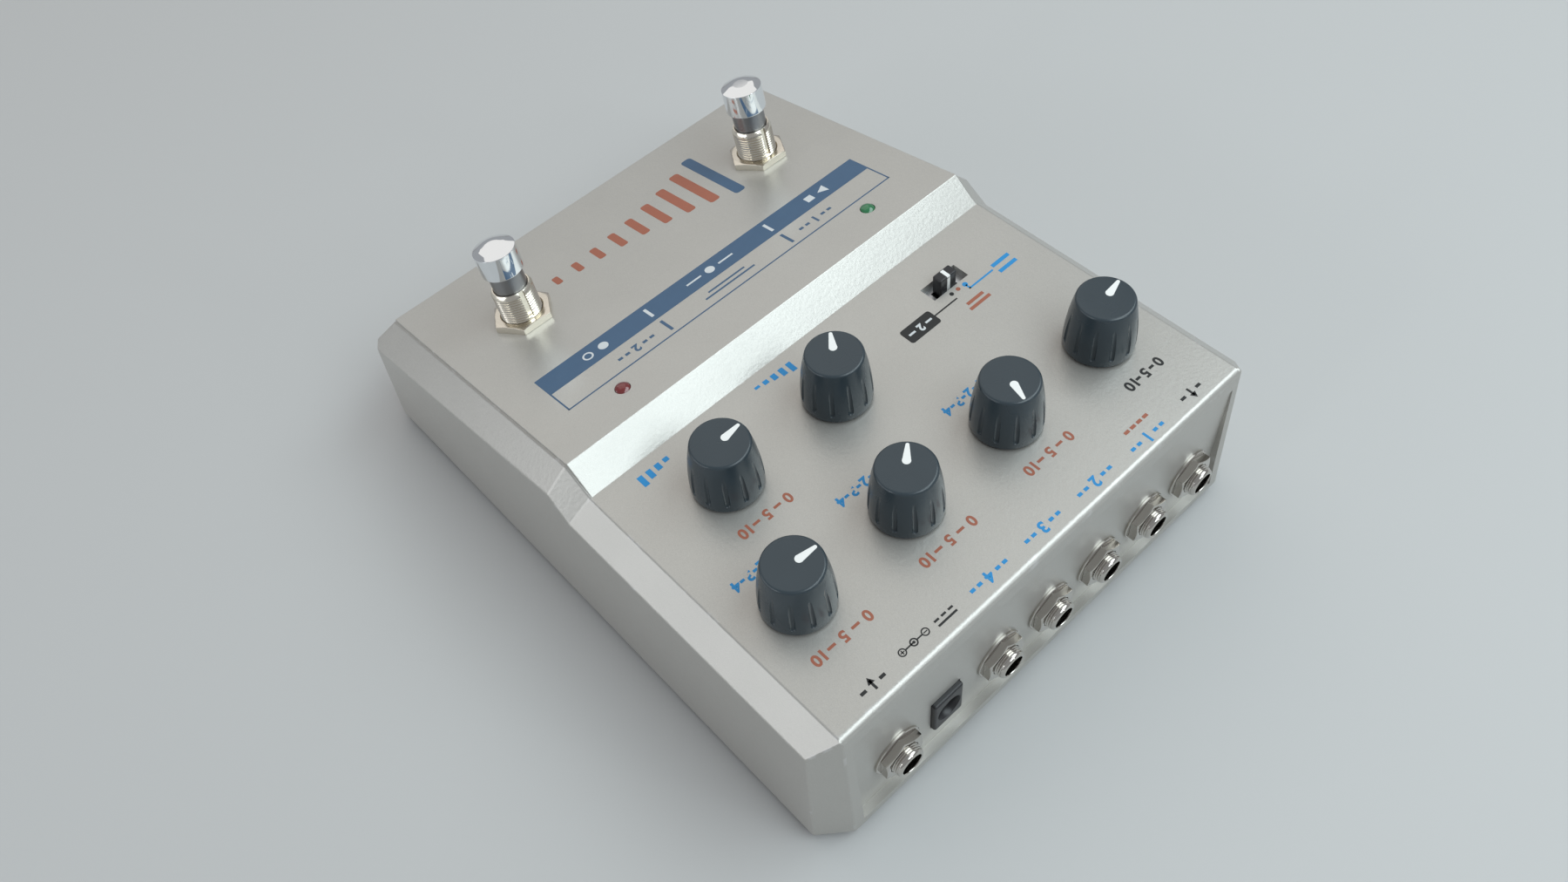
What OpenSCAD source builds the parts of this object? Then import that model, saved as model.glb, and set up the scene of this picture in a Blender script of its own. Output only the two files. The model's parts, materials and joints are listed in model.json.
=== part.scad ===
// Two-footswitch delay pedal: a die-cast case with a level control panel behind a sloping foot panel.
// Built in case coordinates: y runs back to 0 at the rear top edge, z is 0 on the control panel.
// The finished part stands on its feet at z = 0, with x and y centred on its overall box.

/* [Case] */
// Width of the flat top between the side strips
top_w = 150; // [144:1:168]
// Width of the sloped strip along the top edges, across and down alike
strip = 7.3; // [6:0.1:9]
// Depth of the level control panel, rear edge to foot of the step
control_d = 95; // [93:0.5:110]
// Height of the control panel above the case's lower edge
control_h = 51.5; // [50:0.5:60]
// Rise of the step from the control panel to the ridge
step_rise = 6.75; // [5:0.25:9]
// Depth of the step, foot to ridge
step_run = 8.7; // [7:0.1:12]
// Depth of the foot panel, ridge to front edge
foot_panel_d = 95.7; // [92:0.1:110]
// Slope of the foot panel in degrees
foot_panel_tilt = 10.2; // [8:0.1:11]
// Height of the foot panel above its strips
panel_lift = 1; // [0.6:0.1:1.4]
// Outward lean of the outer walls in degrees
draft = 3; // [2:0.25:4]
// Wall thickness
wall = 2.6; // [2.2:0.1:3.2]
// Radius of the rear top edge
edge_r = 2; // [1:0.25:3]
// Depth of the cut-off rear corners
rear_corner_d = 5.8; // [4:0.1:8]
// Width of the cut-off front corners
front_corner = 3; // [2:0.25:5]
// Inset of the jack recess from the flat top's sides
recess_in = 2.5; // [2:0.25:6]
// Height of the ledge below the jack recess
ledge_h = 2.5; // [2:0.25:4]
// Distance of the jack recess below the control panel
recess_drop = 6; // [4:0.5:10]

/* [Base] */
// Thickness of the base plate
plate_t = 1.5; // [1:0.1:2]
// Width of the case rim outside the base plate
rim = 1.4; // [1.2:0.1:1.6]
// Height of the rubber feet
foot_h = 3.5; // [2.5:0.25:6]
// Radius of the rubber feet
foot_r = 9; // [6:0.5:12]
// Distance of the feet from the plate's front and rear edges
foot_in = 17; // [14:0.5:24]
// Gap between the feet and the screw heads beside them
foot_gap = 2; // [1:0.5:6]
// Radius of the screw posts
post_r = 4; // [3.5:0.1:4.5]
// Distance of the end posts from the walls
post_in = 18; // [15:0.5:24]
// Shank radius of the base screws
screw_r = 1.5; // [1.25:0.05:1.75]
// Shank length of the base screws
screw_l = 9; // [6:0.5:14]
// Head radius of the base screws
screw_head_r = 2.8; // [2.4:0.1:3.4]
// Head height of the base screws
screw_head_h = 1.8; // [1.2:0.1:2.2]

/* [Circuit boards] */
// Thickness of both boards
board_t = 1.6; // [1:0.1:2]
// Gap from the main board to the rear wall
board_back = 6; // [4:0.5:10]
// Depth of the jack board
jack_board_d = 31; // [28:0.5:40]

/* [Knobs] */
// Radius at the base
knob_r = 10; // [9:0.1:11.5]
// Radius at the top
knob_top_r = 8.2; // [7.5:0.1:8.5]
// Height of a knob
knob_h = 17.1; // [15:0.1:20]
// Gap under a knob
knob_gap = 0.8; // [0.5:0.1:1.5]
// Radius of the rounded top edge
knob_edge = 0.8; // [0.4:0.1:1.6]
// Number of flutes
flutes = 12; // [8:1:16]
// Radius of a flute
flute_r = 1; // [0.6:0.1:2]
// Depth of a flute at its foot
flute_depth = 0.6; // [0.5:0.1:1.2]
// Height of the plain rim below the flutes
flute_foot = 2.2; // [0.8:0.1:3]
// Inward lean of the flutes in degrees
flute_lean = 2.5; // [0.5:0.25:3]
// Distance of the rear row from the rear edge
rear_row_d = 34; // [30:0.5:36]
// Spacing of the four knobs in the rear row
rear_pitch = 38; // [32:0.5:40]
// Distance of the front row from the rear edge
front_row_d = 72.8; // [68:0.1:78]
// Middle of the two knobs in the front row
front_row_x = 26; // [22:0.5:28]
// Spacing of the two knobs in the front row
front_pitch = 40; // [34:0.5:42]
// Pointer angles of the knobs, turned left from straight back
settings = [102, -20, 131.5, 86, 144, 96]; // [-150:0.5:150]

/* [Potentiometers] */
// Radius of the shafts
shaft_r = 3; // [2.5:0.1:3.1]
// Radius of the threaded bushings
bushing_r = 3.75; // [3.6:0.05:4.5]
// Height of the bushings above the panel
bushing_up = 4.6; // [3.5:0.1:5]
// Radius of the round cans
pot_r = 8; // [7:0.25:9]
// Height of the cans
pot_h = 9; // [8:0.25:11]
// Width across the nuts' flats
pot_nut_af = 10.5; // [10:0.1:11.5]
// Thickness of the nuts
pot_nut_t = 2; // [1.5:0.1:2.5]

/* [Slide switch] */
// Middle of the slot, left of the case's middle
slide_x = 44.3; // [42:0.1:48]
// Distance of the slot from the rear edge
slide_d = 80; // [78:0.1:82]
// Distance between the switch's three stops
slide_step = 2.6; // [2:0.1:3]
// Length of the lever
lever_l = 6.6; // [6:0.1:8]
// Width of the lever
lever_w = 3.4; // [3:0.1:5]
// Height of the lever above the panel
lever_up = 4; // [3:0.25:8]

/* [Indicators] */
// Radius of the two lamps
lamp_r = 2.2; // [1:0.1:2.5]
// Distance of the lamps from the case's middle
lamp_x = 47.5; // [40:0.5:55]
// Distance of the lamps from the ridge
lamp_d = 10.8; // [9:0.1:14]
// Height of the lamps' domes
lamp_dome = 0.9; // [0.4:0.1:1.2]

/* [Footswitches] */
// Distance of the footswitches from the case's middle
foot_x = 47.5; // [40:0.5:54]
// Distance of the footswitches from the ridge, along the floor
foot_d = 61.5; // [50:0.5:70]
// Radius of the threaded bushings
thread_r = 6.4; // [5.8:0.1:6.8]
// Height of the bushings above the panel
thread_up = 12; // [9:0.25:14]
// Depth of the chamfer at the bushings' tops
thread_edge = 1.2; // [0.4:0.1:1.4]
// Width across the nuts' flats
foot_nut_af = 17; // [15:0.5:19]
// Thickness of the nuts
foot_nut_t = 2.4; // [1.8:0.1:3]
// Thickness of the washers under the panel
foot_washer_t = 0.8; // [0.5:0.1:1.2]
// Radius of the plungers
plunger_r = 5.15; // [4.8:0.05:5.2]
// Radius of the caps
cap_r = 6.4; // [6:0.1:7.5]
// Height of the caps
cap_h = 8.6; // [7:0.1:12]
// Radius of the caps' flat tops
cap_flat_r = 4.2; // [3:0.1:5.5]
// Depth of the bevel round the caps' flat tops
cap_bevel = 1; // [0.5:0.1:1.5]
// Gap from a bushing to its cap
cap_gap = 6; // [4:0.25:8]
// Press of a footswitch
foot_press = 3.5; // [2:0.25:3.5]
// Width and depth of a switch body
foot_body_w = 17.5; // [16.5:0.25:20]
// Height of a switch body
foot_body_h = 18; // [17:0.5:20]

/* [Jacks] */
// Depth of the jacks' axes below the control panel
jack_drop = 32.5; // [31:0.25:34]
// Spacing of the five output jacks
jack_pitch = 20; // [18:0.25:20.5]
// Distance of the input jack from the case's middle
input_x = 58; // [56:0.25:60]
// Bore for the plugs
plug_bore_r = 3.25; // [3.2:0.01:3.35]
// Radius of the threaded sleeves
sleeve_r = 4.75; // [4.5:0.05:5]
// Reach of the sleeves behind the rear panel
sleeve_out = 5.8; // [5:0.1:7]
// Width across the nuts' flats
jack_nut_af = 12.7; // [12:0.1:14]
// Thickness of the nuts
jack_nut_t = 2.5; // [2:0.1:3]
// Radius of the washers
washer_r = 7.8; // [7:0.1:8.2]
// Thickness of the washers
washer_t = 0.8; // [0.5:0.1:1.2]
// Width of a jack body
jack_body_w = 15; // [14:0.25:16]
// Height of a jack body below its axis
jack_body_low = 8; // [7:0.25:8.5]
// Height of a jack body above its axis
jack_body_up = 6.5; // [6:0.25:8]
// Length of a jack body
jack_body_l = 26; // [25:0.5:27]

/* [Power inlet] */
// Distance of the inlet from the case's middle
inlet_x = 40; // [39:0.25:41]
// Width of the inlet
inlet_w = 10.5; // [9:0.25:11]
// Height of the inlet
inlet_h = 14; // [11:0.25:15]
// Reach of the inlet behind the rear panel
inlet_out = 1.5; // [0.5:0.1:2.5]
// Length of the inlet
inlet_l = 14; // [12:0.5:16]
// Radius of the socket
socket_r = 3.1; // [3:0.05:3.4]
// Depth of the socket
socket_d = 9.5; // [8:0.25:10.5]
// Radius of the centre pin
pin_r = 1.05; // [0.9:0.05:1.3]

/* [Hidden] */
$fn = 64;
run_fit = 0.05;
seat_fit = 0.02;
hole_fit = 0.15;
plate_fit = 0.2;
slide_fit = 0.2;
panel_inset = 0.4;
step_shift = 0.5;
foot_shift = 0.2;
step_wider = 0.15;
overcut = 1;
reach = 60;

ridge_y = -control_d - step_run;
front_y = ridge_y - foot_panel_d;
step_deg = atan(step_rise / step_run);
half_top = top_w / 2;
half_side = half_top + strip;
rear_turn = atan2(strip, rear_corner_d);
panel_t = wall + panel_lift;

function panel_z(y) = step_rise + (y - ridge_y) * tan(foot_panel_tilt);
function side_x(z) = half_side - (strip + z) * tan(draft);

// Ridge of the side strips, below and just in front of the panel's ridge
strip_ridge = [ridge_y - step_shift, panel_z(ridge_y - step_shift) - panel_lift];
strip_step_deg = atan(strip_ridge[1] / (step_run + step_shift - foot_shift));
// Front strip, from the foot panel's front edge down to the front wall
front_top = [front_y - panel_inset, panel_z(front_y - panel_inset) - panel_lift];
front_fall = [sin(foot_panel_tilt) - cos(foot_panel_tilt), -sin(foot_panel_tilt) - cos(foot_panel_tilt)];
front_wall = front_top + strip * front_fall;
front_foot_y = front_wall[0] - (control_h + front_wall[1]) * tan(draft);

rear_y = -(front_foot_y + sleeve_out) / 2;
control_z = foot_h + control_h;

board_z = -wall - pot_h;
jack_board_z = -jack_drop - jack_body_low;
post_x = half_side - wall - post_r;
board_half = post_x - post_r - 2;
lamp_y = ridge_y - lamp_d;
foot_y = ridge_y - foot_d;
plate_half = side_x(-control_h) - rim;
rubber_x = post_x - screw_head_r - foot_gap - foot_r;
plate_front = front_foot_y + rim;
plate_rear = -wall + rim;
post_ys = [-wall - post_in, ridge_y, front_foot_y + post_in];
foot_places = [for (sx = [-1, 1], y = [plate_front + foot_in, plate_rear - foot_in]) [sx * rubber_x, y]];
post_places = [for (sx = [-1, 1], y = post_ys) [sx * post_x, y]];
// Wall, room over the bushing and roof of a knob's hollow
knob_wall = 1;
knob_room = 1.2;
knob_roof = 3.6;
knob_bore_top = knob_gap + knob_h - knob_roof;
cap_foot = thread_up + cap_gap;
cap_roof = 4;
neck_step = 1.1;
plunger_below = 5.4;
spring_l = 10;
plunger_top = cap_foot + cap_h - cap_roof;
plunger_neck_r = plunger_r - neck_step;
plunger_foot = -panel_t - plunger_below;
spring_foot = plunger_foot - spring_l;
foot_flange_t = 1.2;
foot_flange_in = 0.25;
foot_body_top = -panel_t - foot_washer_t - foot_flange_t;
sleeve_flange_t = 1.4;
sleeve_flange_out = 1.6;
jack_front = -wall - sleeve_flange_t;

// Knobs 1 to 4 stand in the rear row from left to right, 5 and 6 in the front row
function knob_at(i) = i <= 4
    ? [(i - 2.5) * rear_pitch, -rear_row_d]
    : [front_row_x + (i - 5.5) * front_pitch, -front_row_d];
// Jacks 1 to 5 are the outputs from left to right, 6 is the input
function jack_x(i) = i <= 5 ? (i - 4) * jack_pitch : input_x;
// The jack recess ends near the flat top's sides, or past the end washers on a narrow case
washer_room = 1;
recess_left = min(-half_top + recess_in, jack_x(1) - washer_r - washer_room);
recess_right = max(half_top - recess_in, jack_x(6) + washer_r + washer_room);

// From case coordinates to the finished part's frame
module place() {
    translate([0, rear_y, control_z])
        children();
}

module at_knob(i) {
    place()
        translate([knob_at(i)[0], knob_at(i)[1], 0])
            children();
}

// Local z stands square on the foot panel's face
module on_foot_panel(x, y) {
    translate([x, y, panel_z(y)])
        rotate([foot_panel_tilt, 0, 0])
            children();
}

// Local z points straight back out of the rear panel
module on_rear_panel(x, z) {
    translate([x, 0, z])
        rotate([-90, 0, 0])
            children();
}

module hex(af, t) {
    cylinder(r = af / sqrt(3), h = t, $fn = 6);
}

// Extrudes a side view drawn in y and z across the case
module across(width) {
    rotate([90, 0, 90])
        linear_extrude(width, center = true)
            children();
}

// Long bar with a flat top and 45 degree strips, its top tilted about x
module strip_bar(tilt, inset, wider = 0) {
    half = half_top + wider - inset * tan(22.5);
    rotate([tilt + 90, 0, 0])
        translate([0, -inset, 0])
            linear_extrude(10 * reach, center = true)
                polygon([[-half, 0], [half, 0],
                    [half + 2 * reach, -2 * reach], [-half - 2 * reach, -2 * reach]]);
}

module side_walls(inset) {
    low = -2 * reach;
    rotate([90, 0, 0])
        linear_extrude(10 * reach, center = true)
            polygon([for (p = [[1, low], [1, reach], [-1, reach], [-1, low]])
                [p[0] * (side_x(p[1]) - inset), p[1]]]);
}

// Everything behind the foot of the step, with the rear wall leaning out below its rounded edge
module rear_view(inset) {
    lean = inset > 0 ? 0 : tan(draft);
    low = -control_h - inset;
    front = -control_d - step_run / 2;
    polygon([[front, low], [front, reach], [-inset - reach * lean, reach], [-inset - low * lean, low]]);
}

module rear_edge_view() {
    centre = [-edge_r * (1 - sin(draft)) / cos(draft), -edge_r];
    difference() {
        polygon([centre, centre + [0, edge_r + overcut], centre + [2 * edge_r, edge_r + overcut],
            centre + 2 * edge_r * [cos(draft), sin(draft)]]);
        translate(centre)
            circle(edge_r);
    }
}

// Everything in front of the step, with the front strip and the front wall
module front_view(inset) {
    low = -control_h - inset;
    rear = -control_d + step_run;
    foot = front_wall[0] + (low - front_wall[1]) * tan(draft);
    translate([inset, 0])
        polygon([[rear, low], [rear, reach], front_top - strip * front_fall, front_wall, [foot, low]]);
}

// Corner planes lean out with the walls
module corner_cuts(inset) {
    module corner_cut(x, y, z, turn) {
        translate([x, y, z])
            rotate([0, 0, turn])
                rotate([0, -draft, 0])
                    translate([-inset, -reach, -2 * reach])
                        cube([reach, 2 * reach, 4 * reach]);
    }
    for (m = [0, 1])
        mirror([m, 0, 0]) {
            corner_cut(half_top, 0, 0, rear_turn);
            corner_cut(side_x(front_wall[1]) - front_corner, front_wall[0], front_wall[1], -45);
        }
}

// The case's form, full size or shrunk by a wall
module case_form(inset) {
    difference() {
        intersection() {
            union() {
                intersection() {
                    strip_bar(0, inset);
                    across(4 * half_side)
                        rear_view(inset);
                }
                intersection() {
                    translate([0, strip_ridge[0], strip_ridge[1]])
                        strip_bar(foot_panel_tilt, inset);
                    translate([0, strip_ridge[0], strip_ridge[1]])
                        strip_bar(-strip_step_deg, inset, step_wider);
                    across(4 * half_side)
                        front_view(inset);
                }
            }
            side_walls(inset);
        }
        corner_cuts(inset);
    }
}

// Step and foot panel, standing proud of their strips and rooted in the level panel
module raised_panel() {
    sunk = panel_lift + wall / 2;
    root = 0.5;
    across(2 * (half_top - panel_inset))
        polygon([[-control_d + root, -root * step_rise / step_run], [ridge_y, step_rise],
            [front_y, panel_z(front_y)], [front_y, panel_z(front_y) - sunk],
            [ridge_y - wall / 2, step_rise - sunk], [-control_d, -wall / 2]]);
}

// Outline of the base plate, with its rear corners along the case's corner planes
module plate_view(gap) {
    half = plate_half - gap;
    front = plate_front + gap;
    rear = plate_rear - gap;
    front_clip = front_corner + rim;
    corner_n = [cos(rear_turn), sin(rear_turn)];
    corner = half_top * corner_n[0] + control_h * tan(draft) - rim - gap;
    right = [[half - front_clip, front], [half, front + front_clip],
        [half, (corner - half * corner_n[0]) / corner_n[1]],
        [(corner - rear * corner_n[1]) / corner_n[0], rear]];
    left = [for (i = [3, 2, 1, 0]) [-right[i][0], right[i][1]]];
    polygon(concat(right, left));
}

module posts() {
    for (p = post_places)
        translate([p[0], p[1], -control_h])
            cylinder(r = post_r, h = control_h + reach);
    for (p = post_places)
        translate([p[0] > 0 ? p[0] : p[0] - reach, p[1] - wall / 2, -control_h])
            cube([reach, wall, control_h + reach]);
}

module housing() {
    color("#a39a90")
        place()
            difference() {
                union() {
                    difference() {
                        case_form(0);
                        across(4 * half_side)
                            rear_edge_view();
                    }
                    raised_panel();
                }
                difference() {
                    case_form(wall);
                    posts();
                }
                translate([0, 0, -control_h - overcut])
                    linear_extrude(plate_t + overcut)
                        plate_view(0);
                for (p = post_places)
                    translate([p[0], p[1], -control_h])
                        cylinder(r = screw_r + seat_fit, h = screw_l + overcut);
                translate([recess_left, 0, -control_h + ledge_h])
                    cube([recess_right - recess_left, reach, control_h - ledge_h - recess_drop]);
                for (i = [1 : 6])
                    translate([knob_at(i)[0], knob_at(i)[1], -wall - overcut])
                        cylinder(r = bushing_r + hole_fit, h = wall + 2 * overcut);
                slot_cut();
                for (s = [-1, 1])
                    translate([s * lamp_x, lamp_y, panel_z(lamp_y) - 2 * panel_t])
                        cylinder(r = lamp_r + hole_fit, h = 4 * panel_t);
                for (s = [-1, 1])
                    on_foot_panel(s * foot_x, foot_y)
                        translate([0, 0, -panel_t - overcut])
                            cylinder(r = thread_r + hole_fit, h = panel_t + 2 * overcut);
                for (i = [1 : 6])
                    on_rear_panel(jack_x(i), -jack_drop)
                        translate([0, 0, -wall - overcut])
                            cylinder(r = sleeve_r + hole_fit, h = wall + 2 * overcut);
                translate([inlet_x - inlet_w / 2 - hole_fit, -wall - overcut, jack_board_z - hole_fit])
                    cube([inlet_w + 2 * hole_fit, wall + 2 * overcut, inlet_h + 2 * hole_fit]);
            }
}

// Room that the slot leaves around the lever at its ends and along its sides
slot_end = 1.1;
slot_side = 1.2;
slot_l = lever_l + 2 * slide_step + 2 * slot_end;
slot_w = lever_w + 2 * slot_side;

module slot_cut() {
    translate([-slide_x - slot_l / 2, -slide_d - slot_w / 2, -wall - overcut])
        cube([slot_l, slot_w, wall + 2 * overcut]);
}

module base_plate() {
    color("#6f6c69")
        place()
            difference() {
                translate([0, 0, -control_h])
                    linear_extrude(plate_t)
                        plate_view(plate_fit);
                for (p = post_places)
                    translate([p[0], p[1], -control_h - overcut])
                        cylinder(r = screw_r + hole_fit, h = plate_t + 2 * overcut);
            }
}

module base_screws() {
    color("#8d8f92")
        place()
            for (p = post_places)
                translate([p[0], p[1], -control_h]) {
                    translate([0, 0, -screw_head_h])
                        cylinder(r = screw_head_r, h = screw_head_h);
                    cylinder(r = screw_r, h = screw_l);
                }
}

module rubber_feet() {
    taper = 0.8;
    color("#1c1c1d")
        place()
            for (p = foot_places)
                translate([p[0], p[1], -control_h - foot_h])
                    cylinder(r1 = foot_r - taper, r2 = foot_r, h = foot_h);
}

module main_board() {
    front = lamp_y - 3 * lamp_r;
    color("#2f6b45")
        place()
            translate([-board_half, front, board_z - board_t])
                cube([2 * board_half, -wall - board_back - front, board_t]);
}

module jack_board() {
    color("#2f6b45")
        place()
            translate([-board_half, jack_front - jack_board_d, jack_board_z - board_t])
                cube([2 * board_half, jack_board_d, board_t]);
}

// Side view of a knob: a flank that draws in more and more, under a rounded top edge
module knob_view() {
    flank_h = knob_h - knob_edge;
    flank_steps = 4;
    flank = [for (k = [0 : flank_steps]) let (u = k / flank_steps)
        [knob_r - (knob_r - knob_top_r) * u * u, flank_h * u]];
    polygon(concat([[0, 0]], flank, [[0, flank_h]]));
    square([knob_top_r - knob_edge, knob_h]);
    translate([knob_top_r - knob_edge, flank_h])
        intersection() {
            circle(knob_edge);
            square(knob_edge);
        }
}

// Drop-shaped pointer, broad end near the middle
pointer_t = 0.6;
pointer_proud = 0.05;
pointer_in = 2;
pointer_in_r = 1.15;
pointer_tip_r = 0.5;
pointer_rim = 0.1;
// The straight sides run a hair inside the two rounds, which makes them cross
pointer_waist = 0.98;

module drop(gap, h) {
    tip = knob_top_r - knob_edge - pointer_rim - pointer_tip_r;
    lean = asin((pointer_in_r - pointer_tip_r) / (tip - pointer_in));
    side = [sin(lean), cos(lean)];
    broad = [pointer_in, 0] + pointer_waist * (pointer_in_r + gap) * side;
    narrow = [tip, 0] + pointer_waist * (pointer_tip_r + gap) * side;
    translate([pointer_in, 0, 0])
        cylinder(r = pointer_in_r + gap, h = h);
    translate([tip, 0, 0])
        cylinder(r = pointer_tip_r + gap, h = h);
    linear_extrude(h)
        polygon([broad, narrow, [narrow[0], -narrow[1]], [broad[0], -broad[1]]]);
}

module knob(i) {
    flute_turn = 360 / flutes;
    color("#2b3036")
        at_knob(i)
            rotate([0, 0, 90 + settings[i - 1]])
                difference() {
                    translate([0, 0, knob_gap])
                        rotate_extrude()
                            knob_view();
                    for (k = [0 : flutes - 1])
                        rotate([0, 0, (k + 0.5) * flute_turn])
                            translate([knob_r - flute_depth + flute_r, 0, knob_gap + flute_foot])
                                rotate([0, -flute_lean, 0])
                                    cylinder(r = flute_r, h = knob_h);
                    translate([0, 0, -overcut])
                        cylinder(r = knob_top_r - knob_wall, h = bushing_up + knob_room + overcut);
                    cylinder(r = shaft_r + seat_fit, h = knob_bore_top);
                    translate([0, 0, knob_gap + knob_h - pointer_t])
                        drop(seat_fit, pointer_t + overcut);
                }
}

module pointer(i) {
    color("#f4f4f0")
        at_knob(i)
            rotate([0, 0, 90 + settings[i - 1]])
                translate([0, 0, knob_gap + knob_h - pointer_t])
                    drop(0, pointer_t + pointer_proud);
}

// Inside of a can: the rotor turns between a roof and a floor of the same thickness
pot_skin = 1.2;
rotor_side = 0.6;
rotor_r = pot_r - pot_skin - rotor_side;
rotor_gap = 0.3;

module shaft(i) {
    rotor_h = pot_h - 2 * pot_skin - 2 * rotor_gap;
    color("#b9bbbd")
        at_knob(i) {
            translate([0, 0, -wall - pot_skin - rotor_gap])
                cylinder(r = shaft_r, h = wall + pot_skin + rotor_gap + knob_bore_top);
            translate([0, 0, -wall - pot_skin - rotor_gap - rotor_h])
                cylinder(r = rotor_r, h = rotor_h);
        }
}

module pot(i) {
    color("#9ea2a6")
        at_knob(i)
            difference() {
                union() {
                    translate([0, 0, board_z])
                        cylinder(r = pot_r, h = pot_h);
                    translate([0, 0, -wall])
                        cylinder(r = bushing_r, h = wall + bushing_up);
                }
                translate([0, 0, board_z + pot_skin])
                    cylinder(r = pot_r - pot_skin, h = pot_h - 2 * pot_skin);
                translate([0, 0, board_z + pot_h / 2])
                    cylinder(r = shaft_r + run_fit, h = pot_h + wall + bushing_up);
            }
}

module pot_nuts() {
    color("#c3c4c2")
        for (i = [1 : 6])
            at_knob(i)
                difference() {
                    hex(pot_nut_af, pot_nut_t);
                    translate([0, 0, -overcut])
                        cylinder(r = bushing_r + seat_fit, h = pot_nut_t + 2 * overcut);
                }
}

// Slider of the switch: a foot that runs in the body, a stem through the body's roof and a lever on it
slide_skin = 1.2;
slide_end = 4;
slide_side = 1.3;
shoulder_l = 1.5;
shoulder_w = 1.2;
slide_foot_l = lever_l + 2 * shoulder_l;
slide_foot_w = lever_w + 2 * shoulder_w;
slide_foot_h = 3;
stem_l = 2.6;
stem_w = 1.8;
slide_body_l = slide_foot_l + 2 * slide_step + 2 * slide_end;
slide_body_w = slide_foot_w + 2 * slide_side;

module slide_body() {
    room_l = slide_foot_l + 2 * slide_step + 2 * slide_fit;
    room_w = slide_foot_w + 2 * slide_fit;
    room_h = slide_foot_h + 2 * run_fit;
    mouth_l = stem_l + 2 * slide_step + 4 * slide_fit;
    mouth_w = stem_w + 4 * slide_fit;
    color("#b9bbbd")
        place()
            translate([-slide_x, -slide_d, 0])
                difference() {
                    translate([-slide_body_l / 2, -slide_body_w / 2, board_z])
                        cube([slide_body_l, slide_body_w, pot_h]);
                    translate([-room_l / 2, -room_w / 2, -wall - slide_skin - room_h])
                        cube([room_l, room_w, room_h]);
                    translate([-mouth_l / 2, -mouth_w / 2, -wall - slide_skin - room_h / 2])
                        cube([mouth_l, mouth_w, slide_skin + room_h]);
                }
}

module slide_lever() {
    color("#17181a")
        place()
            translate([-slide_x, -slide_d, 0]) {
                translate([-slide_foot_l / 2, -slide_foot_w / 2,
                    -wall - slide_skin - run_fit - slide_foot_h])
                    cube([slide_foot_l, slide_foot_w, slide_foot_h]);
                translate([-stem_l / 2, -stem_w / 2, -wall - slide_skin - slide_foot_h])
                    cube([stem_l, stem_w, lever_up + wall + slide_skin + slide_foot_h]);
                translate([-lever_l / 2, -lever_w / 2, run_fit - wall])
                    cube([lever_l, lever_w, lever_up + wall - run_fit]);
            }
}

// Lamp: a round lens with a flange, standing on a spacer
lamp_lip = 0.4;
lamp_sunk = 0.8;
lamp_flange_r = lamp_r + lamp_lip;
lamp_flange_t = 1;
lamp_l = panel_t + lamp_flange_t + lamp_sunk;

module lamp(side) {
    place()
        translate([side * lamp_x, lamp_y, panel_z(lamp_y) - lamp_l]) {
            cylinder(r = lamp_flange_r, h = lamp_flange_t);
            cylinder(r = lamp_r, h = lamp_l);
            translate([0, 0, lamp_l])
                intersection() {
                    dome_r = (lamp_r * lamp_r + lamp_dome * lamp_dome) / (2 * lamp_dome);
                    translate([0, 0, lamp_dome - dome_r])
                        sphere(dome_r);
                    cylinder(r = lamp_r, h = lamp_dome);
                }
        }
}

module lamp_left() {
    color("#1f5a3a")
        lamp(-1);
}

module lamp_right() {
    color("#6a1c1c")
        lamp(1);
}

module lamp_spacers() {
    color("#222325")
        place()
            for (s = [-1, 1])
                translate([s * lamp_x, lamp_y, board_z])
                    difference() {
                        cylinder(r = lamp_flange_r, h = panel_z(lamp_y) - lamp_l - board_z);
                        translate([0, 0, -overcut])
                            cylinder(r = lamp_r / 2, h = reach);
                    }
}

module at_foot(side) {
    place()
        on_foot_panel(side * foot_x, foot_y)
            children();
}

module foot_body(side) {
    color("#33465c")
        at_foot(side)
            difference() {
                translate([-foot_body_w / 2, -foot_body_w / 2, foot_body_top - foot_body_h])
                    cube([foot_body_w, foot_body_w, foot_body_h]);
                translate([0, 0, spring_foot])
                    cylinder(r = plunger_r + run_fit, h = reach);
            }
}

module foot_bushing(side) {
    color("#c9c2ab")
        at_foot(side)
            difference() {
                union() {
                    translate([0, 0, foot_body_top])
                        cylinder(r = foot_body_w / 2 - foot_flange_in, h = foot_flange_t);
                    translate([0, 0, foot_body_top])
                        cylinder(r = thread_r, h = thread_up - thread_edge - foot_body_top);
                    translate([0, 0, thread_up - thread_edge])
                        cylinder(r1 = thread_r, r2 = thread_r - thread_edge / 2, h = thread_edge);
                }
                translate([0, 0, foot_body_top - overcut])
                    cylinder(r = plunger_r + run_fit, h = reach);
            }
}

module foot_plunger(side) {
    color("#77797b")
        at_foot(side) {
            translate([0, 0, plunger_foot])
                cylinder(r = plunger_r, h = cap_foot - plunger_foot);
            translate([0, 0, plunger_foot])
                cylinder(r = plunger_neck_r, h = plunger_top - plunger_foot);
        }
}

module foot_cap(side) {
    lip = 0.3;
    color("#d4d8da")
        at_foot(side)
            difference() {
                translate([0, 0, cap_foot])
                    rotate_extrude()
                        polygon([[0, 0], [cap_r - lip, 0], [cap_r, lip], [cap_r, cap_h - cap_bevel],
                            [cap_flat_r, cap_h], [0, cap_h]]);
                translate([0, 0, cap_foot - overcut])
                    cylinder(r = plunger_neck_r + seat_fit, h = plunger_top - cap_foot + overcut);
            }
}

// Return spring: one round wire wound up from the switch's floor to the plunger
spring_turns = 5;
spring_wire_r = 0.4;
spring_side = 0.4;
spring_gap = 0.05;
spring_sides = 6;
spring_steps = 12;

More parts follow.
